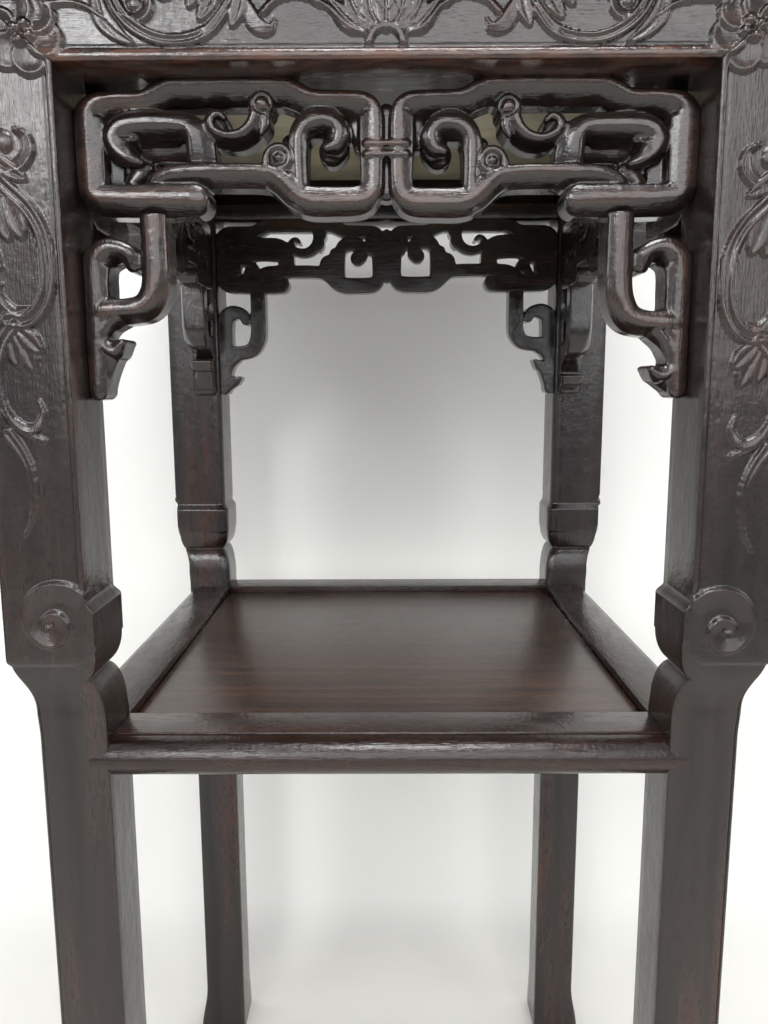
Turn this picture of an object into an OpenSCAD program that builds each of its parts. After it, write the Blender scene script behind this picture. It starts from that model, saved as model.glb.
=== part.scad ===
// Square two-tier hardwood stand: four legs with carved knees, a mitred frieze under the top board,
// openwork fret aprons with bracket spandrels, a framed shelf with a floating panel and a stone slab in the top.
// Millimetres, +Z up, origin on the floor under the centre of the stand.

/* [Overall] */
// Height from the floor to the top of the top board
stand_h = 793; // [760:1:900]
// Width across the outer faces of the upper legs
stand_w = 360; // [340:1:400]
// Height of the top of the shelf frame above the floor
shelf_z = 433; // [380:1:460]

/* [Top board] */
// Overhang of the top board beyond the upper legs' outer faces
top_over = 16; // [8:1:30]
// Thickness of the top frame
top_t = 22; // [20:1:30]
// Width of the top frame's seat on the friezes
top_seat = 20; // [18:1:23]
// Depth of the stone slab below the frame's upper face
top_recess = 1; // [0:0.5:2]
// Room round the stone slab in the frame
slab_gap = 0.5; // [0.3:0.1:1]

/* [Legs] */
// Width of the upper part of a leg
leg_w = 40; // [38:1:46]
// Width of the lower shank of a leg
shank_w = 35; // [30:1:36]
// Setback of the shank's outer face from the upper leg's outer face
shank_set = 8; // [6:1:12]
// Flat on the inner corner of the upper leg
leg_chamfer = 2; // [2:0.5:8]
// Height above the shelf where the knee starts to swell
knee_low = 18; // [10:1:24]
// Height above the shelf where the knee reaches the upper leg's face
knee_high = 47; // [40:1:54]
// Height above the shelf of the top of the cloud lobes on the inner faces
lobe_top = 70; // [64:1:80]
// Height above the shelf of the groove between the two lobes
lobe_groove = 32; // [28:1:36]
// Swell of the upper lobe beyond the inner face
lobe_out = 2.5; // [1:0.5:4]
// Depth of the groove between the lobes, from the inner face
groove_in = 4.5; // [2:0.5:6]
// Radius of the scroll boss on each outer face of the knee
scroll_r = 15.5; // [12:0.5:18]
// Height of the scroll boss's centre above the shelf
scroll_z = 60; // [52:1:66]
// Height of the out-turned foot
foot_h = 46; // [30:1:70]
// Out-turn of the foot beyond the shank
foot_out = 6; // [2:1:10]

/* [Frieze] */
// Height of the frieze under the top board
frieze_h = 33; // [30:1:44]
// Thickness of the frieze
frieze_t = 27; // [25:1:28]
// Height of the raised bead along the frieze's lower edge
bead_h = 5; // [3:0.5:7]
// Height of the cleat behind the frieze's lower edge, over the fret
cleat_h = 12; // [8:1:14]
// Depth of the cleat behind the frieze
cleat_w = 12; // [8:1:12]
// Width of the raised bead along the inner edge of each leg face
bead_w = 3; // [2:0.5:5]
// Height of the beads, the scroll bosses and the rosettes above the carved ground
relief = 1.5; // [1:0.5:3]

/* [Fret apron] */
// Height of the fret apron
fret_h = 58; // [54:1:64]
// Thickness of the fret apron and the spandrels
fret_t = 19; // [16:1:22]
// Setback of the fret's front from the frieze's face
fret_set = 19; // [15:1:21]
// Width of the main bars of the fret
bar_w = 10; // [8.5:0.5:11]
// Width of the inner scrolls of the fret
curl_w = 8; // [6:0.5:9]
// Drop of the low shoulders of the fret below its high shoulders
shoulder_drop = 6; // [4:0.5:8]
// Gap between the two loops at the middle of the fret
loop_gap = 3; // [2:0.5:5]
// Height of each tie band across the middle of the fret
tie_h = 3.6; // [2.5:0.1:4]

/* [Spandrels] */
// Width of a spandrel
spandrel_w = 38; // [36:1:44]
// Height of a spandrel
spandrel_h = 81; // [78:1:90]
// Width of the spandrel's bars
bracket_w = 10; // [8:0.5:11]

/* [Shelf] */
// Thickness of the shelf rails
rail_t = 21; // [20:1:26]
// Step between the flat of a shelf rail and its rounded nose
nose_step = 1; // [0.5:0.5:2]
// Depth of the shelf panel below the rails
panel_recess = 5; // [3:0.5:6]

/* [Joinery] */
// Thickness of the floating panel's tongue
tongue_t = 6; // [5:0.5:7]
// Depth to which the panel's tongue enters its groove
tongue_d = 7; // [5:0.5:8]
// Room left for the panel to swell in its groove
swell_gap = 1; // [0.5:0.1:1.2]
// Width of the battens under the panel and the slab
batten_w = 28; // [20:1:40]
// Side clearance of every tenon and tongue
fit = 0.2; // [0.1:0.05:0.3]
// Diameter of the bamboo pins
pin_d = 4; // [3:0.5:5]
// Clearance round each pin
pin_fit = 0.05; // [0.02:0.01:0.1]

/* [Hidden] */
$fn = 48;

// Sides of the stand, as quarter turns from the front
FRONT = 0;
RIGHT = 1;
BACK = 2;
LEFT = 3;
SIDES = [FRONT, RIGHT, BACK, LEFT];

// Colours of the dark polished hardwood, its redder panel, the pale stone and the bamboo pins
wood = [0.16, 0.11, 0.10];
carved_wood = [0.20, 0.14, 0.12];
panel_wood = [0.26, 0.15, 0.12];
pale_stone = [0.80, 0.77, 0.68];
bamboo = [0.72, 0.60, 0.38];

// Main radii, measured outward from the stand's vertical axis
half = stand_w / 2;
bay = half - leg_w;
shank_r = half - shank_set;
shelf_r = shank_r - shank_w;
top_r = half + top_over;
top_inner = half - top_seat;
core_r = half - frieze_t;

// Main levels
top_z = stand_h - top_t;
frieze_z = top_z - frieze_h;
fret_z = frieze_z - fret_h;
spandrel_z = fret_z - spandrel_h;

// Fret and spandrel plane
fret_front_r = half - fret_set;
fret_mid_r = fret_front_r - fret_t / 2;

// Margin by which a cutting shape passes the face that it cuts
over = 2;

// Plane curves

function unit(v) = v / norm(v);

// Points of a quarter ellipse from a to b; it leaves a along the first axis if flat is true, else along the second
function quarter(a, b, flat, n = 6) = [
  for (i = [0:n])
    let (t = 90 * i / n)
    flat
      ? [a.x + (b.x - a.x) * sin(t), a.y + (b.y - a.y) * (1 - cos(t))]
      : [a.x + (b.x - a.x) * (1 - cos(t)), a.y + (b.y - a.y) * sin(t)]
];

// Points of a smooth S from a to b that starts and ends along the second axis
function ess(a, b, n = 10) = [
  for (i = [0:n])
    let (t = i / n)
    [a.x + (b.x - a.x) * (1 - cos(180 * t)) / 2, a.y + (b.y - a.y) * t]
];

// Points that round the corner at b between a and c with radius r
function corner(a, b, c, r, n = 6) =
  let (
    u = unit(a - b),
    v = unit(c - b),
    half_angle = acos(max(-1, min(1, u * v))) / 2,
    reach = r / tan(half_angle),
    centre = b + unit(u + v) * r / sin(half_angle)
  )
  [for (i = [0:n]) centre + r * unit((b + u * reach) * (1 - i / n) + (b + v * reach) * i / n - centre)];

// Centre line through the points p, with every inner corner rounded to radius r
function rounded(p, r) = [
  for (i = [0:len(p) - 1])
    each (i == 0 || i == len(p) - 1) ? [p[i]] : corner(p[i - 1], p[i], p[i + 1], r)
];

// Direction of the centre line at its point i
function heading(p, i) = unit(p[min(i + 1, len(p) - 1)] - p[max(i - 1, 0)]);

// Points to one side of the centre line
function beside(p, d) = [for (i = [0:len(p) - 1]) let (h = heading(p, i)) p[i] + d * [-h.y, h.x]];

// Half circle round the end e of a line that runs along h
function end_cap(e, h, d, n = 8) = [
  for (i = [1:n - 1]) e + d * (cos(180 * i / n) * [-h.y, h.x] + sin(180 * i / n) * h)
];

function backward(p) = [for (i = [len(p) - 1:-1:0]) p[i]];

// Bar of width w along the centre line p, with round ends
module bar(p, w) {
  last = len(p) - 1;
  polygon(concat(
    beside(p, w / 2),
    end_cap(p[last], heading(p, last), w / 2),
    backward(beside(p, -w / 2)),
    end_cap(p[0], -heading(p, 0), w / 2)
  ));
}

// Placing helpers

module on_side(side) rotate([0, 0, 90 * side]) children();

// Stands a drawing of X and Z upright, with its front r from the axis on the front side and t thick
module front_slab(r, t) translate([0, t - r, 0]) rotate([90, 0, 0]) linear_extrude(t) children();

// Runs a drawing of radius and Z along the front side, for the length len each way from the middle
module front_run(length) rotate([90, 0, 90]) translate([0, 0, -length]) linear_extrude(2 * length)
  mirror([1, 0]) children();

// Everything on the front side of the two diagonals through the axis, set back by gap
module front_quarter(gap = 0) linear_extrude(stand_h + over)
  polygon([[0, -gap], [-stand_w, -stand_w - gap], [stand_w, -stand_w - gap]]);

// Box between two corners, grown by g on every side
module span(a, b, g = 0) translate(a - [g, g, g]) cube(b - a + 2 * [g, g, g]);

// Legs

hanger_in = 5;
hanger_x = bay + hanger_in;
hanger_w = 8;
hanger_d = 6;
hanger_set = 9;
hanger_r = half - hanger_set;
hanger_t = 7;

// Rounding of the upper lobe's top, rise of the groove into it and height of the lower lobe
lobe_round = 12;
groove_rise = 15;
low_lobe_h = 24;

// Inner face of a leg, from the top down, set back by c
function leg_inner(c) = concat(
  [[bay + c, top_z], [bay + c, shelf_z + lobe_top]],
  quarter([bay + c, shelf_z + lobe_top], [bay + c - lobe_out, shelf_z + lobe_top - lobe_round], true),
  quarter([bay + c - lobe_out, shelf_z + lobe_groove + groove_rise], [bay + c + groove_in, shelf_z + lobe_groove], false),
  quarter([bay + c + groove_in, shelf_z + lobe_groove], [shelf_r + c, shelf_z + lobe_groove - low_lobe_h], true)
);

// Outer face of a leg, from the foot up
function leg_outer() = concat(
  ess([shank_r + foot_out, 0], [shank_r, foot_h]),
  ess([shank_r, shelf_z + knee_low], [half, shelf_z + knee_high]),
  [[half, top_z]]
);

// Side view of a leg, with its inner face set back by c
module leg_side(c) polygon(concat(
  leg_inner(c),
  [[shelf_r + c, 0]],
  leg_outer()
));

// Half of the section across the diagonal, which only the inner chamfer limits
module leg_diagonal() polygon(concat(
  [for (p = leg_inner(leg_chamfer / 2)) [p.x * sqrt(2), p.y]],
  [[shelf_r * sqrt(2), shelf_z + lobe_groove - low_lobe_h - leg_chamfer]],
  [[shelf_r * sqrt(2), -over], [stand_w, -over], [stand_w, top_z]]
));

// Block of the back right leg before its joints are cut
module leg_block() intersection() {
  rotate([90, 0, 0]) translate([0, 0, -stand_w]) linear_extrude(stand_w) leg_side(0);
  rotate([90, 0, 90]) linear_extrude(stand_w) leg_side(0);
  rotate([90, 0, 45]) translate([0, 0, -stand_w / 2]) linear_extrude(stand_w) leg_diagonal();
}

// Bead along the inner edge and scroll boss, on the front face of the front right leg
module leg_relief() front_slab(half + relief, relief + over) {
  polygon([
    [bay, shelf_z + scroll_z], [bay + bead_w, shelf_z + scroll_z],
    [bay + bead_w, frieze_z + bead_w * frieze_h / leg_w], [bay, frieze_z]
  ]);
  translate([bay + scroll_r, shelf_z + scroll_z]) circle(scroll_r);
}

// The back right leg
module corner_leg() {
  difference() {
    leg_block();
    for (side = [RIGHT, BACK]) on_side(side) {
      frieze_wedge(half + over, frieze_t + over, over);
      frieze_hangers(fit);
      fret_tenons(fit);
      rail_points(shank_r + over);
      rail_tenons(fit);
      spandrel_leg_pins(pin_fit);
    }
  }
  on_side(BACK) mirror([1, 0, 0]) leg_relief();
  on_side(RIGHT) leg_relief();
}

module leg(turns) color(wood) rotate([0, 0, 90 * turns]) corner_leg();

// Frieze

// Front frieze with both its mitres: corner to corner on the face, and along the diagonal in plan
module frieze_wedge(r, t, up = 0) {
  lean = leg_w / frieze_h;
  intersection() {
    front_slab(r, t) polygon([
      [-bay, frieze_z], [bay, frieze_z],
      [half + up * lean, top_z + up], [-half - up * lean, top_z + up]
    ]);
    front_quarter();
  }
}

// Tongues that hang from the frieze's mitres into slots in the legs
module frieze_hangers(g = 0) for (s = [-1, 1]) {
  x = s > 0 ? hanger_x : -hanger_x - hanger_w;
  top = frieze_z + (hanger_in + hanger_w) * frieze_h / leg_w;
  span([x, -hanger_r, frieze_z - hanger_d], [x + hanger_w, hanger_t - hanger_r, top], g);
}

frieze_tongue_h = 5;
frieze_tongue_t = 6;
frieze_tongue_in = 8;
frieze_tongue_end = 30;

// Tongue along the frieze's upper edge, for a groove under the top frame
module frieze_tongue(g = 0) span(
  [frieze_tongue_end - bay, frieze_tongue_in - half, top_z - over],
  [bay - frieze_tongue_end, frieze_tongue_in + frieze_tongue_t - half, top_z + frieze_tongue_h],
  g
);

// Cleat behind the frieze's lower edge, between the legs, that backs the fret
module frieze_cleat() span(
  [fit - bay, -core_r - over, frieze_z],
  [bay - fit, cleat_w - core_r, frieze_z + cleat_h]
);

module front_frieze() {
  difference() {
    union() {
      frieze_wedge(half, frieze_t);
      frieze_cleat();
      frieze_hangers();
      frieze_tongue();
    }
    fret_top_pins(pin_fit);
  }
  front_slab(half + relief, relief + over) polygon([
    [-bay, frieze_z], [bay, frieze_z],
    [bay + bead_h * leg_w / frieze_h, frieze_z + bead_h], [-bay - bead_h * leg_w / frieze_h, frieze_z + bead_h]
  ]);
}

module frieze(side) color(carved_wood) difference() {
  on_side(side) front_frieze();
  top_batten_solid(fit);
}

// Fret apron, drawn from the frieze's lower edge down; the right half is drawn and mirrored

high_y = -bar_w / 2;
low_y = high_y - shoulder_drop;
foot_y = bar_w / 2 - fret_h;
side_x = bay - bar_w / 2;
loop_x = (loop_gap + bar_w) / 2;
hook_l = 56;
hook_end = bay - hook_l;
return_w = bar_w - 1;
return_rise = 11.5;
mid_y = foot_y + return_rise;
bend = 2;

// Where the shoulders step and the return rises, from the middle and from the leg
inner_step = [33, 48];
outer_step = [30, 43];
inner_rise = [37, 52];
tail = [30, 37];

// Inner scrolls: each bud's centre, from the middle and from the frieze
arch_x = hook_end + 2;
arch_y = -17;
arch_side = 19;
arch_tip = [28, 16];
arch_drop = 14;
scroll_x = [37, 38.5, 20];
scroll_y = -18.5;
scroll_bud = [23, -30.5];
bud_r = 5;
mid_curl = [49, mid_y + 8.5];
mid_curl_r = 5.5;
tendril_x = [56, 54];
tendril_y = -25;
tendril_bud = [75.5, -20.5];
tendril_bud_r = 7.5;

// Outer ribbon: from the round end of the hook, up the side, over the shoulders and round the middle loop
function ribbon() = rounded([
  [hook_end, foot_y], [side_x, foot_y], [side_x, low_y], [bay - outer_step[0], low_y],
  [bay - outer_step[1], high_y], [inner_step[1], high_y], [inner_step[0], low_y],
  [loop_x, low_y], [loop_x, foot_y], [inner_rise[0] - bend, foot_y]
], bar_w / 2 + bend);

// Ribbon's return: out of the middle loop, up to the middle level and over the hook
function ribbon_return() = rounded([
  [loop_x + bar_w, foot_y], [inner_rise[0], foot_y], [inner_rise[1], mid_y],
  [bay - tail[1], mid_y], [bay - tail[0], foot_y + bend]
], bar_w / 2 + bend);

// Arch inside the side compartment
function arch() = rounded([
  [arch_x, mid_y], [arch_x, arch_y], [bay - arch_side, arch_y],
  [bay - arch_side, arch_y - arch_drop], [bay - arch_tip.x, arch_y - arch_tip.y]
], curl_w / 2 + bend);

// Scroll inside the middle compartment, which ends in a round bud
function scroll() = rounded([
  [scroll_x[0], foot_y], [scroll_x[1], scroll_y], [scroll_x[2], scroll_y], [scroll_x[2], scroll_bud.y]
], curl_w);

// Tendril that hangs from the high shoulder and ends in a round bud
function tendril() = rounded([
  [tendril_x[0], high_y], [tendril_x[1], tendril_y], [tendril_bud.x, tendril_y]
], curl_w / 2 + bend);

module fret_half() {
  bar(ribbon(), bar_w);
  bar(ribbon_return(), return_w);
  bar(arch(), curl_w);
  bar(scroll(), curl_w);
  bar(tendril(), curl_w);
  translate(scroll_bud) circle(bud_r);
  translate(mid_curl) circle(mid_curl_r);
  translate(tendril_bud) circle(tendril_bud_r);
}

tie_in = 2;
tie_x = loop_x + bar_w / 2 - tie_in;
tie_ys = [-27.5, -32];

module fret_drawing() {
  fret_half();
  mirror([1, 0]) fret_half();
  for (y = tie_ys) translate([-tie_x, y - tie_h / 2]) square([2 * tie_x, tie_h]);
}

fret_tenon_l = 6;
fret_tenon_t = 9;
fret_tenon_low = 40;
fret_tenon_high = 20;

// Stub tenons of the fret's side bars in the legs
module fret_tenons(g = 0) for (s = [0, 1]) mirror([s, 0, 0]) span(
  [bay - 1, -fret_mid_r - fret_tenon_t / 2, frieze_z - fret_tenon_low],
  [bay + fret_tenon_l, -fret_mid_r + fret_tenon_t / 2, frieze_z - fret_tenon_high],
  g
);

pin_x = (inner_step[1] + bay - outer_step[1]) / 2;
pin_r = fret_mid_r;
fret_pin_l = 18;
fret_pin_up = 10;

// Bamboo pins that hang the fret from the frieze
module fret_top_pins(g = 0) for (s = [-1, 1])
  translate([s * pin_x, -pin_r, frieze_z + fret_pin_up - fret_pin_l - g])
    cylinder(d = pin_d + 2 * g, h = fret_pin_l + 2 * g);

module front_fret() difference() {
  union() {
    front_slab(fret_front_r, fret_t) translate([0, frieze_z]) fret_drawing();
    fret_tenons();
  }
  fret_top_pins(pin_fit);
  spandrel_top_pins(pin_fit);
}

module fret(side) color(carved_wood) on_side(side) front_fret();

// Spandrels, drawn from the leg's face across and from the fret down

post_w = bracket_w + 2;
post_x = spandrel_w - post_w / 2;
post_waist = 1;
arm_up = 35;
arm_y = arm_up - spandrel_h;
arm_bend = bracket_w - 2;
stem_w = bracket_w - 1;
stem_x = stem_w / 2;
arm_w = bracket_w + 1;
curl_top = -15;
curl_drop = 8;
curl_bend = 7;
curl_x = spandrel_w - post_w - stem_w / 2;

// Small hook under the arm and the leaf below it, from the leg and from the arm
hook_w = stem_w - 1;
hook_bend = 4.6;
hook_low = [14.5, -20.5];
hook_tip = [16, -15.5];
leaf_top = 10;
leaf_side = [12.5, -24];
leaf_tip = [stem_w + 0.5, -31];

// Post and arm, the stem with the curl over its top, the small hook under the arm and the leaf below it
module spandrel_drawing() {
  bar(rounded([[post_x, -arm_w], [post_x, arm_y], [stem_w, arm_y]], arm_bend), arm_w);
  polygon([
    [spandrel_w - post_w, 0], [spandrel_w, 0],
    [spandrel_w - post_waist, -2 * post_w], [spandrel_w - post_w + post_waist, -2 * post_w]
  ]);
  bar(rounded([
    [stem_x, stem_x - spandrel_h], [stem_x, curl_top], [curl_x, curl_top], [curl_x, curl_top - curl_drop]
  ], curl_bend), stem_w);
  translate([0, arm_y]) {
    bar(rounded([[stem_x, 0], [stem_x, hook_low.y], hook_low, hook_tip], hook_bend), hook_w);
    polygon([[stem_x, -leaf_top], leaf_side, leaf_tip, [stem_x, leaf_tip.y]]);
  }
}

leg_pin_up = 24;
leg_pin_z = spandrel_z + leg_pin_up;
leg_pin_l = 14;
leg_pin_in = 8;
post_pin_l = 16;
post_pin_up = 6;

// Pins from the stem of each spandrel of the front into the legs
module spandrel_leg_pins(g = 0) for (s = [0, 1]) mirror([s, 0, 0])
  translate([bay - leg_pin_l + leg_pin_in - g, -fret_mid_r, leg_pin_z]) rotate([0, 90, 0])
    cylinder(d = pin_d + 2 * g, h = leg_pin_l + 2 * g);

// Pins from the post of each spandrel of the front up into the fret
module spandrel_top_pins(g = 0) for (s = [-1, 1])
  translate([s * (bay - post_x), -fret_mid_r, fret_z + post_pin_up - post_pin_l - g])
    cylinder(d = pin_d + 2 * g, h = post_pin_l + 2 * g);

// Spandrel at the right end of the front
module front_spandrel() difference() {
  front_slab(fret_front_r, fret_t) translate([bay, fret_z]) mirror([1, 0]) spandrel_drawing();
  spandrel_leg_pins(pin_fit);
  spandrel_top_pins(pin_fit);
}

module spandrel(side, left_end) color(carved_wood) on_side(side)
  mirror([left_end ? 1 : 0, 0, 0]) front_spandrel();

// Shelf

nose_r = (rail_t - nose_step) / 2;
nose_c = shank_r - nose_r;
point_x = shelf_r + rail_t / 2;
tongue_cover = 4;
shelf_tongue_z = shelf_z - panel_recess - tongue_cover - tongue_t;
rail_tenon_in = 5;
rail_tenon_t = 8;
rail_tenon_edge = 5;

// Section of a shelf rail, as radius and height
module rail_section() {
  translate([shelf_r, shelf_z - rail_t]) square([nose_c - shelf_r, rail_t]);
  translate([nose_c, shelf_z - rail_t + nose_r]) circle(nose_r);
}

// Lapped points of the front rail on the legs' faces, out to radius r
module rail_points(r) front_slab(r, r - nose_c) for (s = [0, 1]) mirror([s, 0]) polygon([
  [shelf_r - over, shelf_z], [shelf_r, shelf_z], [point_x, shelf_z - rail_t / 2],
  [shelf_r, shelf_z - rail_t], [shelf_r - over, shelf_z - rail_t]
]);

// Mitred tenons of the front rail in the legs
module rail_tenons(g = 0) {
  r = shelf_r + rail_tenon_in;
  intersection() {
    for (s = [0, 1]) mirror([s, 0, 0]) span(
      [shelf_r - 1, -r - rail_tenon_t, shelf_z - rail_t + rail_tenon_edge],
      [r + rail_tenon_t, -r, shelf_z - rail_tenon_edge],
      g
    );
    front_quarter(g > 0 ? 0 : fit);
  }
}

module front_rail() difference() {
  union() {
    front_run(shelf_r) rail_section();
    intersection() {
      front_run(point_x) rail_section();
      rail_points(shank_r + over);
    }
    rail_tenons();
  }
  front_run(shelf_r + over) translate([shelf_r - over, shelf_tongue_z])
    square([tongue_d + swell_gap + over, tongue_t + 2 * fit]);
  shelf_batten_solid(fit);
}

module shelf_rail(side) color(wood) on_side(side) front_rail();

// Floating panel: its tongue is notched round the legs
module shelf_panel_solid() {
  edge = shelf_r - 2 * fit;
  reach = shelf_r + tongue_d;
  for (turn = [0, 90]) rotate([0, 0, turn])
    span([-edge, -reach, shelf_tongue_z], [edge, reach, shelf_tongue_z + tongue_t]);
  span([-edge, -edge, shelf_tongue_z], [edge, edge, shelf_z - panel_recess]);
}

module shelf_panel() color(panel_wood) shelf_panel_solid();

batten_tenon_l = 6;
batten_tenon_in = 4;

// Batten under the shelf panel, tenoned into the front and back rails
module shelf_batten_solid(g = 0) {
  low = shelf_z - rail_t;
  w = batten_w / 2;
  span([-w, -shelf_r, low - g], [w, shelf_r, shelf_tongue_z]);
  span(
    [batten_tenon_in - w, -shelf_r - batten_tenon_l, low + 1],
    [w - batten_tenon_in, shelf_r + batten_tenon_l, shelf_tongue_z - 1],
    g
  );
}

module shelf_batten() color(wood) shelf_batten_solid();

// Top board

top_nose_r = (top_t - nose_step) / 2;
mitre_tenon_w = 12;
mitre_tenon_t = 6;
mitre_tenon_up = 8;
mitre_tenon_z = top_z + mitre_tenon_up;
mitre_tenon_l = 12;

// Section of a member of the top frame, as radius and height
module top_section() {
  translate([top_inner, top_z]) square([top_r - top_nose_r - top_inner, top_t]);
  translate([top_r - top_nose_r, top_z + top_nose_r]) circle(top_nose_r);
}

// Member of the top frame on the front side, mitred at both ends and grooved for the frieze's tongue
module top_member() difference() {
  intersection() {
    front_run(top_r) top_section();
    front_quarter();
  }
  frieze_tongue(fit);
}

// Tenons of the right stile that cross the mitres into the rails
module mitre_tenons(g = 0) {
  mid = (top_r + top_inner) / 2;
  for (s = [0, 1]) mirror([0, s, 0]) span(
    [mid - mitre_tenon_w / 2, mid - mitre_tenon_l, mitre_tenon_z],
    [mid + mitre_tenon_w / 2, mid + mitre_tenon_l, mitre_tenon_z + mitre_tenon_t],
    g
  );
}

module top_rail(side) color(wood) difference() {
  on_side(side) top_member();
  for (s = [0, 1]) mirror([s, 0, 0]) mitre_tenons(fit);
}

module top_stile(side) color(wood) {
  on_side(side) top_member();
  on_side(side - RIGHT) mitre_tenons();
}

// Stone slab that lies in the frame, on the friezes, the legs and the batten
module top_slab() color(pale_stone) {
  edge = top_inner - slab_gap;
  span([-edge, -edge, top_z], [edge, edge, stand_h - top_recess]);
}

top_batten_h = 12;
top_batten_shoulder = 3;

// Batten under the slab, tenoned into the front and back friezes
module top_batten_solid(g = 0) {
  w = batten_w / 2;
  low = top_z - top_batten_h;
  span([-w, -core_r, low], [w, core_r, top_z]);
  span(
    [batten_tenon_in - w, -core_r - batten_tenon_l, low + top_batten_shoulder],
    [w - batten_tenon_in, core_r + batten_tenon_l, top_z - top_batten_shoulder],
    g
  );
}

module top_batten() color(wood) top_batten_solid();

// Pins

module fret_pins() color(bamboo) for (side = SIDES) on_side(side) fret_top_pins();

module spandrel_pins() color(bamboo) for (side = SIDES) on_side(side) {
  spandrel_leg_pins();
  spandrel_top_pins();
}

leg(2);  // leg_front_left
leg(3);  // leg_front_right
leg(0);  // leg_back_right
leg(1);  // leg_back_left
frieze(FRONT);  // frieze_front
frieze(RIGHT);  // frieze_right
frieze(BACK);  // frieze_back
frieze(LEFT);  // frieze_left
fret(FRONT);  // fret_front
fret(RIGHT);  // fret_right
fret(BACK);  // fret_back
fret(LEFT);  // fret_left
spandrel(FRONT, true);  // spandrel_front_left
spandrel(FRONT, false);  // spandrel_front_right
spandrel(RIGHT, true);  // spandrel_right_front
spandrel(RIGHT, false);  // spandrel_right_back
spandrel(BACK, true);  // spandrel_back_right
spandrel(BACK, false);  // spandrel_back_left
spandrel(LEFT, true);  // spandrel_left_back
spandrel(LEFT, false);  // spandrel_left_front
shelf_rail(FRONT);  // shelf_rail_front
shelf_rail(RIGHT);  // shelf_rail_right
shelf_rail(BACK);  // shelf_rail_back
shelf_rail(LEFT);  // shelf_rail_left
shelf_panel();
shelf_batten();
top_rail(FRONT);  // top_rail_front
top_rail(BACK);  // top_rail_back
top_stile(RIGHT);  // top_stile_right
top_stile(LEFT);  // top_stile_left
top_slab();
top_batten();
fret_pins();
spandrel_pins();
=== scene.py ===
"""Square two-tier stand in dark waxed hardwood.

Carved friezes and legs, openwork fret aprons, bracket spandrels, a framed shelf and a stone slab in the top.
Sizes are in millimetres in the frame of the solids, and become metres when a mesh is made.
"""

import logging
import math
from dataclasses import dataclass
from enum import Enum
from typing import Sequence

import bpy
import numpy as np
from mathutils import Matrix, Vector


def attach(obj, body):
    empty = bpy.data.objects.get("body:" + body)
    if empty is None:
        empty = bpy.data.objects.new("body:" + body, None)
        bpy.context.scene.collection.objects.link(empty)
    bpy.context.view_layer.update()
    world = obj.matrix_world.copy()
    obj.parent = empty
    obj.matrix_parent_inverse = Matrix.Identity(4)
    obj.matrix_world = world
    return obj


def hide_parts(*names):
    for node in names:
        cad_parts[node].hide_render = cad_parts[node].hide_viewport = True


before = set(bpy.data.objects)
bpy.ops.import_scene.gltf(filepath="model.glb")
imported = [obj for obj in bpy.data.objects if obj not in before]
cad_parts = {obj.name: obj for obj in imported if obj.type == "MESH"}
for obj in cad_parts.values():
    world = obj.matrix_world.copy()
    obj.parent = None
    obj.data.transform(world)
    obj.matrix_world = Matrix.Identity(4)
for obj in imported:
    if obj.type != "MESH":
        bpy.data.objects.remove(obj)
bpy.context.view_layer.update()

MM = 0.001
BODY = "root"
WEAR = "wear"
LOG = logging.getLogger("stand")

# Shared sizes in millimetres: half the widths over and between the legs and between the corner rosettes, the
# height and depth of the frieze, and the radius of the wall's cove
HALF = 180.0
BAY = 140.0
ROSETTE_R = 151.5
FRIEZE_Z = 738.0
FRIEZE_H = 33.0
COVE = 60.0

Line = Sequence[tuple[float, float]]
Tree = bpy.types.NodeTree
Socket = bpy.types.NodeSocket
Material = bpy.types.Material
Piece = bpy.types.Object


class Slot(Enum):
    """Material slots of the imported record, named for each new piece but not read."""

    DARK_WOOD = "dark_wood"
    CARVED_WOOD = "carved_wood"
    PANEL_WOOD = "panel_wood"
    PALE_STONE = "pale_stone"


class Grain(Enum):
    """Axis that the wood's fibres run along."""

    X = 0
    Y = 1
    Z = 2


class Side(Enum):
    """Sides of the stand, as quarter turns from the front."""

    FRONT = 0
    RIGHT = 1
    BACK = 2
    LEFT = 3

    @property
    def grain(self) -> Grain:
        """Grain of a member that runs along this side."""
        return Grain.X if self.value % 2 == 0 else Grain.Y


# Colour and node helpers


def linear(code: str) -> tuple[float, float, float, float]:
    """Turns an sRGB hex colour into linear values.

    Args:
        code: Six hex digits, with or without a leading hash.

    Returns:
        Red, green, blue and an alpha of 1.
    """
    digits = code.lstrip("#")
    parts = [int(digits[i : i + 2], 16) / 255 for i in (0, 2, 4)]
    shades = [p / 12.92 if p <= 0.04045 else ((p + 0.055) / 1.055) ** 2.4 for p in parts]
    return (shades[0], shades[1], shades[2], 1.0)


def add_node(tree: Tree, kind: str, settings: dict | None = None, **inputs: object) -> bpy.types.Node:
    """Adds a node, sets its properties and fills or links its inputs.

    Args:
        tree: Node tree of a material or world.
        kind: Blender's name of the node type.
        settings: Properties of the node itself.
        inputs: Values or output sockets, by input name with spaces as underscores, or in0, in1 by number.

    Returns:
        The new node.
    """
    node = tree.nodes.new(kind)
    for name, value in (settings or {}).items():
        setattr(node, name, value)
    for name, value in inputs.items():
        key = int(name[2:]) if name[:2] == "in" and name[2:].isdigit() else name.replace("_", " ")
        socket = node.inputs[key]
        if isinstance(value, Socket):
            tree.links.new(value, socket)
        else:
            socket.default_value = value
    return node


def ramp(tree: Tree, factor: Socket, stops: Sequence[tuple[float, tuple]]) -> Socket:
    """Adds a colour ramp.

    Args:
        tree: Node tree of the material.
        factor: Socket that drives the ramp.
        stops: Position and colour of each stop, in order.

    Returns:
        The ramp's colour socket.
    """
    node = add_node(tree, "ShaderNodeValToRGB", Fac=factor)
    elements = node.color_ramp.elements
    while len(elements) < len(stops):
        elements.new(1.0)
    for element, (position, colour) in zip(elements, stops):
        element.position = position
        element.color = colour
    return node.outputs["Color"]


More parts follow.
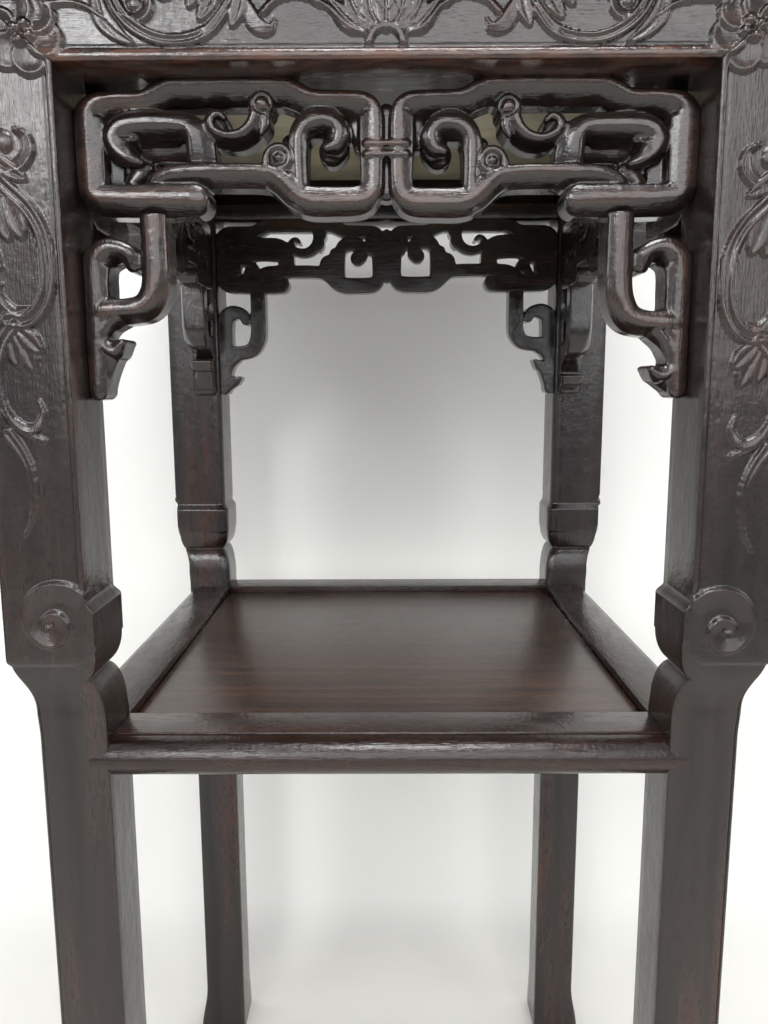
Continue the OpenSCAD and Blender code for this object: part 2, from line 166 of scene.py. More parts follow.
def grey(value: float) -> tuple[float, float, float, float]:
    """Linear grey of that value."""
    return (value, value, value, 1.0)


def reckon(tree: Tree, operation: str, first: Socket, second: Socket | float, clamp: bool = False) -> Socket:
    """Reckons with two values by Blender's name of the operation, kept from 0 to 1 if clamped."""
    settings = {"operation": operation, "use_clamp": clamp}
    return add_node(tree, "ShaderNodeMath", settings, in0=first, in1=second).outputs[0]


def blend(tree: Tree, share: Socket, first: Socket | tuple, second: Socket | tuple) -> Socket:
    """Blends a share of the second colour into the first."""
    made = add_node(tree, "ShaderNodeMix", {"data_type": "RGBA"}, in0=share, in6=first, in7=second)
    return made.outputs[2]


def noise(tree: Tree, place: Socket, size: float, detail: float, distortion: float = 0.0) -> Socket:
    """Adds noise that is alike in all directions.

    Args:
        tree: Node tree of the material.
        place: Object coordinates.
        size: Size of the pattern, in millimetres.
        detail: Octaves of the noise.
        distortion: How far the noise is bent.

    Returns:
        The noise value.
    """
    made = add_node(
        tree, "ShaderNodeTexNoise", Vector=place, Scale=1 / (size * MM), Detail=detail,
        Distortion=distortion,
    )
    return made.outputs["Fac"]


def bump(tree: Tree, height: Socket, strength: float, depth: float, normal: Socket | None = None) -> Socket:
    """Adds roughness to a surface.

    Args:
        tree: Node tree of the material.
        height: Pattern of the roughness.
        strength: Share of it that shows.
        depth: Depth of the pattern, in millimetres.
        normal: Earlier normal that this one lies over, if there is one.

    Returns:
        The new normal.
    """
    under = {} if normal is None else {"Normal": normal}
    made = add_node(tree, "ShaderNodeBump", Strength=strength, Distance=depth * MM, Height=height, **under)
    return made.outputs["Normal"]


def blank(name: str) -> tuple[Material, Tree, Socket]:
    """Starts a material.

    Args:
        name: Name of the material.

    Returns:
        The material, its node tree and its object coordinates.
    """
    made = bpy.data.materials.new(name)
    made.use_nodes = True
    tree = made.node_tree
    tree.nodes.clear()
    return made, tree, add_node(tree, "ShaderNodeTexCoord").outputs["Object"]


def shown_ray(tree: Tree) -> Socket:
    """Adds a test of whether the eye sees a surface, straight or in a gloss or glass.

    Args:
        tree: Node tree of a material or world.

    Returns:
        1 where it does, and 0 elsewhere.
    """
    ray = add_node(tree, "ShaderNodeLightPath").outputs
    through_it = reckon(tree, "MAXIMUM", ray["Is Glossy Ray"], ray["Is Transmission Ray"])
    return reckon(tree, "MAXIMUM", ray["Is Camera Ray"], through_it)


# Finishes


@dataclass(frozen=True)
class WaxedBlackwood:
    """Dark rosewood, scraped smooth, stained near black and waxed.

    To the eye it is a deep brown black with fine pores along the grain, a soft gloss, and red brown where
    hands and dusters have worn the stain off the edges. The real pores are about 0.2 mm wide, too fine to
    show, so they are drawn coarser.
    """

    name: str
    heart: str = "#110e0d"
    streak: str = "#2c231f"
    ember: str = "#48291d"
    pore: str = "#0a0908"
    worn: str = "#5c3829"
    rub: float = 0.85
    roughness: float = 0.18
    mottle: float = 0.07
    polish: float = 0.05
    ior: float = 1.52
    gloss: float = 0.4
    gloss_roughness: float = 0.12
    gloss_ior: float = 1.48
    pored: float = 0.9
    pore_mm: float = 0.8
    pore_length_mm: float = 7.0
    pore_depth_mm: float = 0.18
    scraped: float = 0.6
    scrape_mm: float = 2.2
    scrape_depth_mm: float = 0.25
    planed: float = 0.9
    swell_mm: float = 12.0
    swell_depth_mm: float = 0.8
    streak_mm: float = 9.0
    streak_length_mm: float = 190.0
    patch_mm: float = 6.0

    def material(self, grain: Grain) -> Material:
        """Makes the material with its fibres along one axis.

        Args:
            grain: Axis of the fibres.

        Returns:
            The new material.
        """
        made, tree, place = blank(f"{self.name}_{grain.name.lower()}")
        pores = self.stretched(tree, place, grain, self.pore_mm, self.pore_length_mm, 2.0)
        streaks = self.stretched(tree, place, grain, self.streak_mm, self.streak_length_mm, 3.0)
        patch = self.stretched(tree, place, grain, self.patch_mm, 3 * self.patch_mm, 4.0)
        tones = [(0.30, linear(self.heart)), (0.58, linear(self.streak)), (0.82, linear(self.ember))]
        hollow = ramp(tree, pores, [(0.30, grey(1.0)), (0.46, grey(0.0))])
        dark = blend(tree, hollow, ramp(tree, streaks, tones), linear(self.pore))
        wear = add_node(tree, "ShaderNodeAttribute", {"attribute_name": WEAR}).outputs["Fac"]
        broken = ramp(tree, patch, [(0.36, grey(0.05)), (0.66, grey(1.0))])
        share = reckon(tree, "MULTIPLY", reckon(tree, "MULTIPLY", wear, broken), self.rub, clamp=True)
        colour = blend(tree, share, dark, linear(self.worn))
        dull = add_node(
            tree, "ShaderNodeMapRange", Value=patch, From_Min=0.3, From_Max=0.7,
            To_Min=self.roughness - self.mottle, To_Max=self.roughness + self.mottle,
        )
        shine = reckon(tree, "SUBTRACT", dull.outputs["Result"], reckon(tree, "MULTIPLY", wear, self.polish))
        normal = bump(tree, pores, self.pored, self.pore_depth_mm)
        scrapes = noise(tree, place, self.scrape_mm, 3.0)
        normal = bump(tree, scrapes, self.scraped, self.scrape_depth_mm, normal)
        normal = bump(tree, noise(tree, place, self.swell_mm, 2.0), self.planed, self.swell_depth_mm, normal)
        shader = add_node(
            tree, "ShaderNodeBsdfPrincipled", Base_Color=colour, Roughness=shine, IOR=self.ior, Normal=normal,
            Coat_Weight=self.gloss, Coat_Roughness=self.gloss_roughness, Coat_IOR=self.gloss_ior,
        )
        add_node(tree, "ShaderNodeOutputMaterial", Surface=shader.outputs["BSDF"])
        return made

    @staticmethod
    def stretched(
        tree: Tree, place: Socket, grain: Grain, across: float, along: float, detail: float
    ) -> Socket:
        """Adds noise drawn out along the grain.

        Args:
            tree: Node tree of the material.
            place: Object coordinates.
            grain: Axis of the fibres.
            across: Size of the pattern across the grain, in millimetres.
            along: Size of the pattern along the grain, in millimetres.
            detail: Octaves of the noise.

        Returns:
            The noise value.
        """
        scale = [1 / (across * MM)] * 3
        scale[grain.value] = 1 / (along * MM)
        turned = add_node(tree, "ShaderNodeMapping", Vector=place, Scale=scale).outputs["Vector"]
        made = add_node(tree, "ShaderNodeTexNoise", Vector=turned, Scale=1.0, Detail=detail, Distortion=0.15)
        return made.outputs["Fac"]


@dataclass(frozen=True)
class HonedMarble:
    """Cream marble with grey and ochre clouds and a few soft veins, honed on its upper face.

    To the eye it has a dull sheen. Its grit is drawn coarser than the real crystals, so that it shows.
    """

    name: str = "honed_marble"
    ground: str = "#c6bea6"
    cloud: str = "#a59d84"
    vein: str = "#837c69"
    cloud_mm: float = 70.0
    vein_mm: float = 90.0
    vein_share: float = 0.4
    grit: float = 0.1
    grit_mm: float = 1.2
    grit_depth_mm: float = 0.1
    smoothest: float = 0.32
    dullest: float = 0.48
    ior: float = 1.5

    def material(self) -> Material:
        """Makes the material.

        Returns:
            The new material.
        """
        made, tree, place = blank(self.name)
        clouds = noise(tree, place, self.cloud_mm, 6.0, 0.6)
        base = ramp(tree, clouds, [(0.35, linear(self.cloud)), (0.62, linear(self.ground))])
        bent = noise(tree, place, self.vein_mm, 2.5, 0.9)
        veins = ramp(tree, bent, [(0.43, grey(0.0)), (0.5, grey(self.vein_share)), (0.53, grey(0.0))])
        colour = blend(tree, veins, base, linear(self.vein))
        normal = bump(tree, noise(tree, place, self.grit_mm, 2.0), self.grit, self.grit_depth_mm)
        dull = add_node(tree, "ShaderNodeMapRange", Value=clouds, To_Min=self.smoothest, To_Max=self.dullest)
        shader = add_node(
            tree, "ShaderNodeBsdfPrincipled", Base_Color=colour, Roughness=dull.outputs["Result"],
            IOR=self.ior, Normal=normal,
        )
        add_node(tree, "ShaderNodeOutputMaterial", Surface=shader.outputs["BSDF"])
        return made


@dataclass(frozen=True)
class SplitBamboo:
    """Raw split bamboo, pale yellow with long fibres."""

    name: str = "split_bamboo"
    pale: str = "#c9a86a"
    fibre: str = "#9c7a42"
    fibre_mm: float = 0.4
    fibre_length_mm: float = 20.0
    fibre_depth_mm: float = 0.1
    ridged: float = 0.2
    roughness: float = 0.6

    def material(self) -> Material:
        """Makes the material.

        Returns:
            The new material.
        """
        made, tree, place = blank(self.name)
        fibres = WaxedBlackwood.stretched(tree, place, Grain.Z, self.fibre_mm, self.fibre_length_mm, 2.0)
        colour = ramp(tree, fibres, [(0.35, linear(self.fibre)), (0.6, linear(self.pale))])
        normal = bump(tree, fibres, self.ridged, self.fibre_depth_mm)
        shader = add_node(
            tree, "ShaderNodeBsdfPrincipled", Base_Color=colour, Roughness=self.roughness, Normal=normal
        )
        add_node(tree, "ShaderNodeOutputMaterial", Surface=shader.outputs["BSDF"])
        return made


@dataclass(frozen=True)
class PlasterWhite:
    """Matt white plaster of the backdrop, uneven from the trowel.

    It is clear to a view from behind or below, and lamps shine through it. The floor is a little greyer
    than the wall, and one passes into the other in the cove.
    """

    name: str = "plaster_white"
    shade: str = "#f6f6f3"
    floor: str = "#e2e1dd"
    glow: float = 0.12
    roughness: float = 0.9
    specular: float = 0.2
    trowelled: float = 0.2
    trowel_mm: float = 45.0
    trowel_depth_mm: float = 2.0

    def material(self) -> Material:
        """Makes the material.

        Returns:
            The new material.
        """
        made, tree, place = blank(self.name)
        normal = bump(tree, noise(tree, place, self.trowel_mm, 5.0), self.trowelled, self.trowel_depth_mm)
        glow = add_node(tree, "ShaderNodeMapRange", Value=shown_ray(tree), To_Max=self.glow)
        height = add_node(tree, "ShaderNodeSeparateXYZ", Vector=place).outputs["Z"]
        rise = add_node(tree, "ShaderNodeMapRange", Value=height, From_Max=COVE * MM)
        tone = blend(tree, rise.outputs["Result"], linear(self.floor), linear(self.shade))
        shader = add_node(
            tree, "ShaderNodeBsdfPrincipled", Base_Color=tone, Roughness=self.roughness,
            Specular_IOR_Level=self.specular, Normal=normal, Emission_Color=tone,
            Emission_Strength=glow.outputs["Result"],
        )
        behind = add_node(tree, "ShaderNodeNewGeometry").outputs["Backfacing"]
        shaded = add_node(tree, "ShaderNodeLightPath").outputs["Is Shadow Ray"]
        free = reckon(tree, "MAXIMUM", behind, shaded)
        clear = add_node(tree, "ShaderNodeBsdfTransparent").outputs["BSDF"]
        sheet = add_node(tree, "ShaderNodeMixShader", in0=free, in1=shader.outputs["BSDF"], in2=clear)
        add_node(tree, "ShaderNodeOutputMaterial", Surface=sheet.outputs["Shader"])
        return made


class Finishes:
    """Every material of the stand, made once and shared."""

    def __init__(self) -> None:
        """Makes the materials."""
        plain = WaxedBlackwood("waxed_blackwood")
        arris = WaxedBlackwood("rubbed_arris", heart="#261a15", streak="#4a2f22", ember="#5a3626", rub=0.0)
        board = WaxedBlackwood(
            "polished_board", heart="#231612", streak="#432c1f", ember="#54331f", rub=0.4, roughness=0.24,
            gloss=0.05, scraped=0.05, streak_mm=7.0, streak_length_mm=240.0, swell_mm=70.0, mottle=0.03,
            planed=0.06,
        )
        rail = WaxedBlackwood(
            "waxed_rail", heart="#120c0a", streak="#2e1d17", ember="#46291b", gloss=0.0, roughness=0.24,
            planed=0.3,
        )
        leg = WaxedBlackwood(
            "waxed_leg", heart="#120e0d", streak="#2f2420", ember="#4e2c21", gloss=0.15, roughness=0.2,
            scraped=0.45, planed=0.5, streak_mm=13.0,
        )
        raw = WaxedBlackwood("unpolished_back", rub=0.0, roughness=0.62, gloss=0.0, scraped=0.5)
        # Paler copy of the marble for the slab's underside: painted light, brighter to stand in for light
        # bounced up onto it
        underside_light = HonedMarble("marble_painted_underside_light", ground="#efe8d2", cloud="#d8d0b6", vein="#b8b098")
        self.wood = {g: plain.material(g) for g in Grain}
        self.rail = {g: rail.material(g) for g in Grain}
        self.leg = leg.material(Grain.Z)
        self.raw = {g: raw.material(g) for g in Grain}
        self.arris = {g: arris.material(g) for g in Grain}
        self.board = board.material(Grain.X)
        self.marble = HonedMarble().material()
        self.underside_light = underside_light.material()
        self.bamboo = SplitBamboo().material()
        self.plaster = PlasterWhite().material()


# Lines


def through(points: Line, step: float = 1.2) -> np.ndarray:
    """Smooth line through points.

    Args:
        points: Points that the line passes.
        step: Spacing of the result, in millimetres.

    Returns:
        Evenly spaced points of the line.
    """
    p = np.array(points, float)
    ends = np.vstack([2 * p[0] - p[1], p, 2 * p[-1] - p[-2]])
    t = np.linspace(0, 1, 16, endpoint=False)[:, None]
    parts = []
    for a, b, c, d in zip(ends, ends[1:], ends[2:], ends[3:]):
        bow = 2 * a - 5 * b + 4 * c - d
        twist = 3 * b - a - 3 * c + d
        parts.append(0.5 * (2 * b + (c - a) * t + bow * t**2 + twist * t**3))
    return even(np.vstack([*parts, p[-1:]]), step)


def even(line: np.ndarray, step: float) -> np.ndarray:
    """Spaces the points of a line evenly.

    Args:
        line: Points of the line.
        step: Wanted spacing.

    Returns:
        Points at an equal spacing close to step.
    """
    run = np.concatenate([[0], np.cumsum(np.linalg.norm(np.diff(line[:, :2], axis=0), axis=1))])
    marks = np.linspace(0, run[-1], max(3, int(run[-1] / step) + 1))
    return np.stack([np.interp(marks, run, line[:, k]) for k in range(line.shape[1])], 1)


def smooth(t: np.ndarray) -> np.ndarray:
    """Smooth step from 0 to 1 as t goes from 0 to 1."""
    c = np.clip(t, 0, 1)
    return c * c * (3 - 2 * c)


# Meshes


def add_object(name: str, data: bpy.types.ID) -> Piece:
    """Adds an object to the scene.

    Args:
        name: Name of the object.
        data: Its mesh, lamp or camera.

    Returns:
        The new object.
    """
    made = bpy.data.objects.new(name, data)
    bpy.context.scene.collection.objects.link(made)
    return made


def read(rows: bpy.types.bpy_prop_collection, name: str, width: int, kind: type) -> np.ndarray:
    """Reads a property of every row of a mesh.

    Args:
        rows: Points, edges or faces of the mesh.
        name: Blender's name of the property.
        width: Number of values in a row.
        kind: Type of the values.

    Returns:
        Array of rows by values.
    """
    values = np.zeros(len(rows) * width, kind)
    rows.foreach_get(name, values)
    return values.reshape(-1, width)


def volume(points: np.ndarray, faces: Sequence[np.ndarray]) -> float:
    """Measures the volume inside closed faces.

    Args:
        points: Points of the mesh.
        faces: Arrays of faces; each array holds faces of one size.

    Returns:
        Six times the volume, below 0 where the faces point inwards.
    """
    total = 0.0
    for f in faces:
        for i in range(1, f.shape[1] - 1):
            a, b, c = points[f[:, 0]], points[f[:, i]], points[f[:, i + 1]]
            total += float(np.einsum("ij,ij->i", a, np.cross(b, c)).sum())
    return total


def make_mesh(name: str, points: np.ndarray, faces: Sequence[np.ndarray]) -> Piece:
    """Makes an object from points and faces.

    Args:
        name: Name of the object.
        points: Points in millimetres.
        faces: Arrays of faces; each array holds faces of one size.

    Returns:
        The new object, with its faces turned outwards.
    """
    if volume(points, faces) < 0:
        faces = [f[:, ::-1] for f in faces]
    mesh = bpy.data.meshes.new(name)
    mesh.vertices.add(len(points))
    mesh.vertices.foreach_set("co", (points * MM).astype(np.float32).ravel())
    corners = np.concatenate([f.ravel() for f in faces]).astype(np.int32)
    sizes = np.concatenate([np.full(len(f), f.shape[1]) for f in faces])
    starts = np.concatenate([[0], np.cumsum(sizes)[:-1]]).astype(np.int32)
    mesh.loops.add(len(corners))
    mesh.loops.foreach_set("vertex_index", corners)
    mesh.polygons.add(len(sizes))
    mesh.polygons.foreach_set("loop_start", starts)
    mesh.update(calc_edges=True)
    mesh.validate()
    mesh.shade_smooth()
    return add_object(name, mesh)


def loft(rings: np.ndarray) -> tuple[np.ndarray, list[np.ndarray]]:
    """Skins a stack of closed rings and closes both ends.

    Args:
        rings: Array of rings by points by 3.

    Returns:
        Points and faces for make_mesh.
    """
    m, n, _ = rings.shape
    points = np.vstack([rings.reshape(-1, 3), rings[0].mean(0), rings[-1].mean(0)])
    i = np.arange(m - 1)[:, None] * n
    j = np.arange(n)[None, :]
    k = (j + 1) % n
    quads = np.stack([i + j, i + k, i + n + k, i + n + j], -1).reshape(-1, 4)
    low = np.stack([k[0], j[0], np.full(n, m * n)], 1)
    high = np.stack([(m - 1) * n + j[0], (m - 1) * n + k[0], np.full(n, m * n + 1)], 1)
    return points, [quads, np.vstack([low, high])]


def only(piece: Piece) -> None:
    """Selects one object alone and makes it active.

    Args:
        piece: Object to select.
    """
    bpy.ops.object.select_all(action="DESELECT")
    piece.select_set(True)
    bpy.context.view_layer.objects.active = piece


def apply_modifier(piece: Piece, kind: str, **settings: object) -> None:
    """Adds a modifier to a piece and applies it.

    Args:
        piece: Object to change.
        kind: Blender's name of the modifier type.
        settings: Properties of the modifier.
    """
    only(piece)
    modifier = piece.modifiers.new(kind.lower(), kind)
    for name, value in settings.items():
        setattr(modifier, name, value)
    bpy.ops.object.modifier_apply(modifier=modifier.name)


def copy_piece(piece: Piece, name: str, turns: int = 0, mirror: bool = False) -> Piece:
    """Copies a piece with its own mesh, turned about the stand's axis.

    Args:
        piece: Object to copy.
        name: Name of the copy.
        turns: Quarter turns to the left, seen from above.
        mirror: Whether the copy is mirrored left to right before it turns.

    Returns:
        The copy, at the origin.
    """
    made = add_object(name, piece.data.copy())
    move = Matrix.Rotation(math.radians(90 * turns), 4, "Z")
    if mirror:
        move = move @ Matrix.Scale(-1, 4, Vector((1, 0, 0)))
    made.data.transform(move)
    if mirror:
        made.data.flip_normals()
    made.data.update()
    return made


def mark_wear(
    piece: Piece, front_r: float, broad: float, sharp: float, dull: float, near: float = 2.6,
    band: float | None = None, rounds: int = 3,
) -> None:
    """Stores how far each point stands out, so that the finish can rub through there.

    Args:
        piece: Object with an evenly dense mesh.
        front_r: Distance of its foremost face from the stand's axis, in millimetres.
        broad: Wear on that face, from 0 to 1.
        sharp: Curvature, per metre, at which the edge is fully worn.
        dull: Curvature at which the wear starts.
        near: Depth behind the foremost face at which its wear ends, in millimetres.
        band: Height below which the front is worn all along, in millimetres, if there is such a band.
        rounds: Rounds of smoothing.
    """
    mesh = piece.data
    co = read(mesh.vertices, "co", 3, np.float32).astype(float)
    normal = read(mesh.vertex_normals, "vector", 3, np.float32).astype(float)
    a, b = read(mesh.edges, "vertices", 2, np.int32).T
    d = co[b] - co[a]
    square = np.maximum((d * d).sum(1), 1e-12)
    bend = np.zeros(len(co))
    count = np.zeros(len(co))
    np.add.at(bend, a, -2 * (normal[a] * d).sum(1) / square)
    np.add.at(bend, b, 2 * (normal[b] * d).sum(1) / square)
    np.add.at(count, a, 1)
    np.add.at(count, b, 1)
    bend /= np.maximum(count, 1)
    for _ in range(rounds):
        total = bend.copy()
        np.add.at(total, a, bend[b])
        np.add.at(total, b, bend[a])
        bend = total / (count + 1)
    depth = front_r - np.abs(co[:, :2]).max(1) / MM
    edges = np.clip((bend - dull) / (sharp - dull), 0, 1)
    plateau = 1.18
    value = np.maximum(edges, broad * smooth(plateau * (1 - depth / near)))
    if band is not None:
        band_deep = 4.0
        value = np.where((co[:, 2] < band * MM) & (depth < band_deep), 1.0, value)
    layer = mesh.attributes.new(WEAR, "FLOAT", "POINT")
    layer.data.foreach_set("value", value.astype(np.float32))


def dress(piece: Piece, node: str, slot: Slot, *finishes: Material) -> None:
    """Gives a piece its finish and puts it in the place of a solid.

    Args:
        piece: Finished object.
        node: Solid that it stands for.
        slot: Material slot of the record; not used.
        finishes: Materials, in the order of the mesh's material numbers.
    """
    piece.data.materials.clear()
    for finish in finishes:
        piece.data.materials.append(finish)
    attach(piece, BODY)
    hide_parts(node)
    LOG.info("%s: %d faces", piece.name, len(piece.data.polygons))


# Carving


class Relief:
    """Carved face, as heights in millimetres over a flat ground."""

    def __init__(self, across: np.ndarray, up: np.ndarray) -> None:
        """Starts with a flat ground.

        Args:
            across: Place of each point across the face.
            up: Place of each point up the face.
        """
        self.across = across
        self.up = up
        self.height = np.zeros_like(across)

    def near(self, line: np.ndarray, reach: float) -> tuple[np.ndarray, np.ndarray, np.ndarray, np.ndarray]:
        """Finds the points close to a line.

        Args:
            line: Points of the line.
            reach: Greatest distance that matters.

        Returns:
            Numbers of the points, their distances, how far along the line they are from 0 to 1, and the side
            of the line as -1 or 1.
        """
        low = line.min(0) - reach
        high = line.max(0) + reach
        inside = (self.across > low[0]) & (self.across < high[0]) & (self.up > low[1]) & (self.up < high[1])
        spots = np.flatnonzero(inside)
        p = np.stack([self.across.ravel()[spots], self.up.ravel()[spots]], 1)
        a = line[:-1]
        run = np.diff(line, axis=0)
        length = np.linalg.norm(run, axis=1)
        start = np.concatenate([[0], np.cumsum(length)[:-1]])
        best = np.full(len(p), 1e9)
        along = np.zeros(len(p))
        side = np.ones(len(p))
        for i in range(len(a)):
            d = p - a[i]
            t = np.clip(d @ run[i] / length[i] ** 2, 0, 1)
            off = d - t[:, None] * run[i]
            gap = np.hypot(off[:, 0], off[:, 1])
            closer = gap < best
            best[closer] = gap[closer]
            along[closer] = (start[i] + t[closer] * length[i]) / length.sum()
            side[closer] = np.sign(run[i][0] * d[closer, 1] - run[i][1] * d[closer, 0])
        return spots, best, along, side

    def lift(self, spots: np.ndarray, height: np.ndarray) -> None:
        """Raises points to a height, where it is above what is there."""
        flat = self.height.reshape(-1)
        flat[spots] = np.maximum(flat[spots], height)

    def stem(
        self, points: Line, width: float, height: float, groove: float = 0.0,
        ends: tuple[float, float] = (1, 1),
    ) -> None:
        """Carves a stem with steep sides, with a groove along it if asked.

        Args:
            points: Points that the stem passes.
            width: Full width.
            height: Height of its crown.
            groove: Depth of the groove along the middle.
            ends: Share of the width at the first and last point.
        """
        line = through(points)
        spots, off, along, _ = self.near(line, width)
        half = width / 2 * (ends[0] + (ends[1] - ends[0]) * along)
        t = np.clip(off / np.maximum(half, 0.05), 0, 1)
        crown = height * (1 - t**5) ** 0.5 - groove * np.exp(-((off / (0.17 * width)) ** 2)) * (t < 1)
        self.lift(spots, np.where(t < 1, crown, 0))

    def leaf(self, points: Line, width: float, height: float, veins: int = 0, skew: float = 0.8) -> None:
        """Carves a pointed leaf: steep edges, a slightly hollow face and incised veins.

        Args:
            points: Points of the leaf's spine, from its stalk to its tip.
            width: Greatest width.
            height: Height of its rim.
            veins: Number of side veins.
            skew: Below 1 the leaf is widest near its stalk.
        """
        line = through(points)
        spots, off, along, _ = self.near(line, width)
        swell = np.sin(np.pi * np.clip(along, 0.02, 1) ** skew) ** 0.7
        half = np.maximum(width / 2 * swell, 0.05)
        t = off / half
        face = height * (0.82 + 0.18 * t**2) * np.sqrt(np.clip(1 - t**8, 0, 1))
        vein = 0.3 * height * np.exp(-((off / 0.5) ** 2))
        if veins:
            wave = np.sin(np.pi * (veins * along - 0.9 * t))
            vein = vein + 0.22 * height * np.clip(1 - np.abs(wave) / 0.35, 0, 1) * (t < 0.9) * (t > 0.15)
        self.lift(spots, np.where(t < 1, face - vein, 0))

    def crescent(self, points: Line, width: float, height: float, hollow: int) -> None:
        """Carves a curled leaf: a crisp outer edge and a face that slopes down to its hollow side.

        Args:
            points: Points along the middle of the leaf.
            width: Greatest width.
            height: Height of the outer edge.
            hollow: Side of the line that slopes down, -1 or 1.
        """
        line = through(points)
        spots, off, along, side = self.near(line, width)
        half = np.maximum(width / 2 * np.sin(np.pi * np.clip(along, 0.04, 0.97)) ** 0.6, 0.05)
        t = np.clip(off / half, 0, 1) * np.where(side == hollow, 1, -1)
        face = height * (0.68 - 0.32 * t) * np.sqrt(np.clip(1 - np.abs(t) ** 8, 0, 1))
        self.lift(spots, np.where(off < half, face, 0))

    def bulb(self, centre: tuple[float, float], radius: float, height: float) -> None:
        """Carves a round button.

        Args:
            centre: Middle of the button.
            radius: Its radius.
            height: Its height.
        """
        d = np.hypot(self.across - centre[0], self.up - centre[1]).ravel()
        spots = np.flatnonzero(d < radius)
        self.lift(spots, height * np.sqrt(1 - (d[spots] / radius) ** 2))

    def rosette(
        self, centre: tuple[float, float], radius: float = 17.0, height: float = 2.6, petals: int = 6,
        turn: float = 0.25,
    ) -> None:
        """Carves an open flower: lapped hollow petals with raised rims round a cluster of beads.

        Args:
            centre: Middle of the flower.
            radius: Reach of the petals.
            height: Height of the petals' rims.
            petals: Number of petals.
            turn: Turn of the flower, in radians.
        """
        wide = 0.46 * radius
        for i in range(petals):
            a = turn + 2 * math.pi * i / petals
            mid = (centre[0] + 0.56 * radius * math.cos(a), centre[1] + 0.56 * radius * math.sin(a))
            x = (self.across - mid[0]).ravel()
            z = (self.up - mid[1]).ravel()
            out = x * math.cos(a) + z * math.sin(a)
            over = -x * math.sin(a) + z * math.cos(a)
            t = np.hypot(out / (0.46 * radius), over / wide)
            spots = np.flatnonzero(t < 1)
            r = t[spots]
            tilt = 0.3 * height * over[spots] / wide
            face = height * (0.42 + 0.58 * r**3) * np.sqrt(np.clip(1 - r**8, 0, 1)) + tilt
            self.lift(spots, face)
        for i in range(4):
            a = math.pi * i / 2 + 0.4
            spot = (centre[0] + 0.2 * radius * math.cos(a), centre[1] + 0.2 * radius * math.sin(a))
            self.bulb(spot, 0.18 * radius, height * 1.5)

    def scroll(self, points: Line, height: float, slope: float, inner: int) -> None:
        """Carves a volute: a step along a spiral line that slopes away on its inner side.

        Args:
            points: Points of the spiral, from the outside in.
            height: Height of the step.
            slope: Width of the slope.
            inner: Side of the line that slopes, -1 or 1.
        """
        line = through(points, 0.7)
        size = max(4, len(line) // 7)
        for first in range(0, len(line) - 2, size):
            part = line[max(0, first - 1) : first + size + 1]
            spots, off, along, side = self.near(part, slope)
            within = side == inner
            bank = height * np.where(within, np.clip(1 - off / slope, 0, 1) ** 1.3, 1 - smooth(off / 1.8))
            self.lift(spots, np.where((along > 0) & (along < 1), bank, 0))


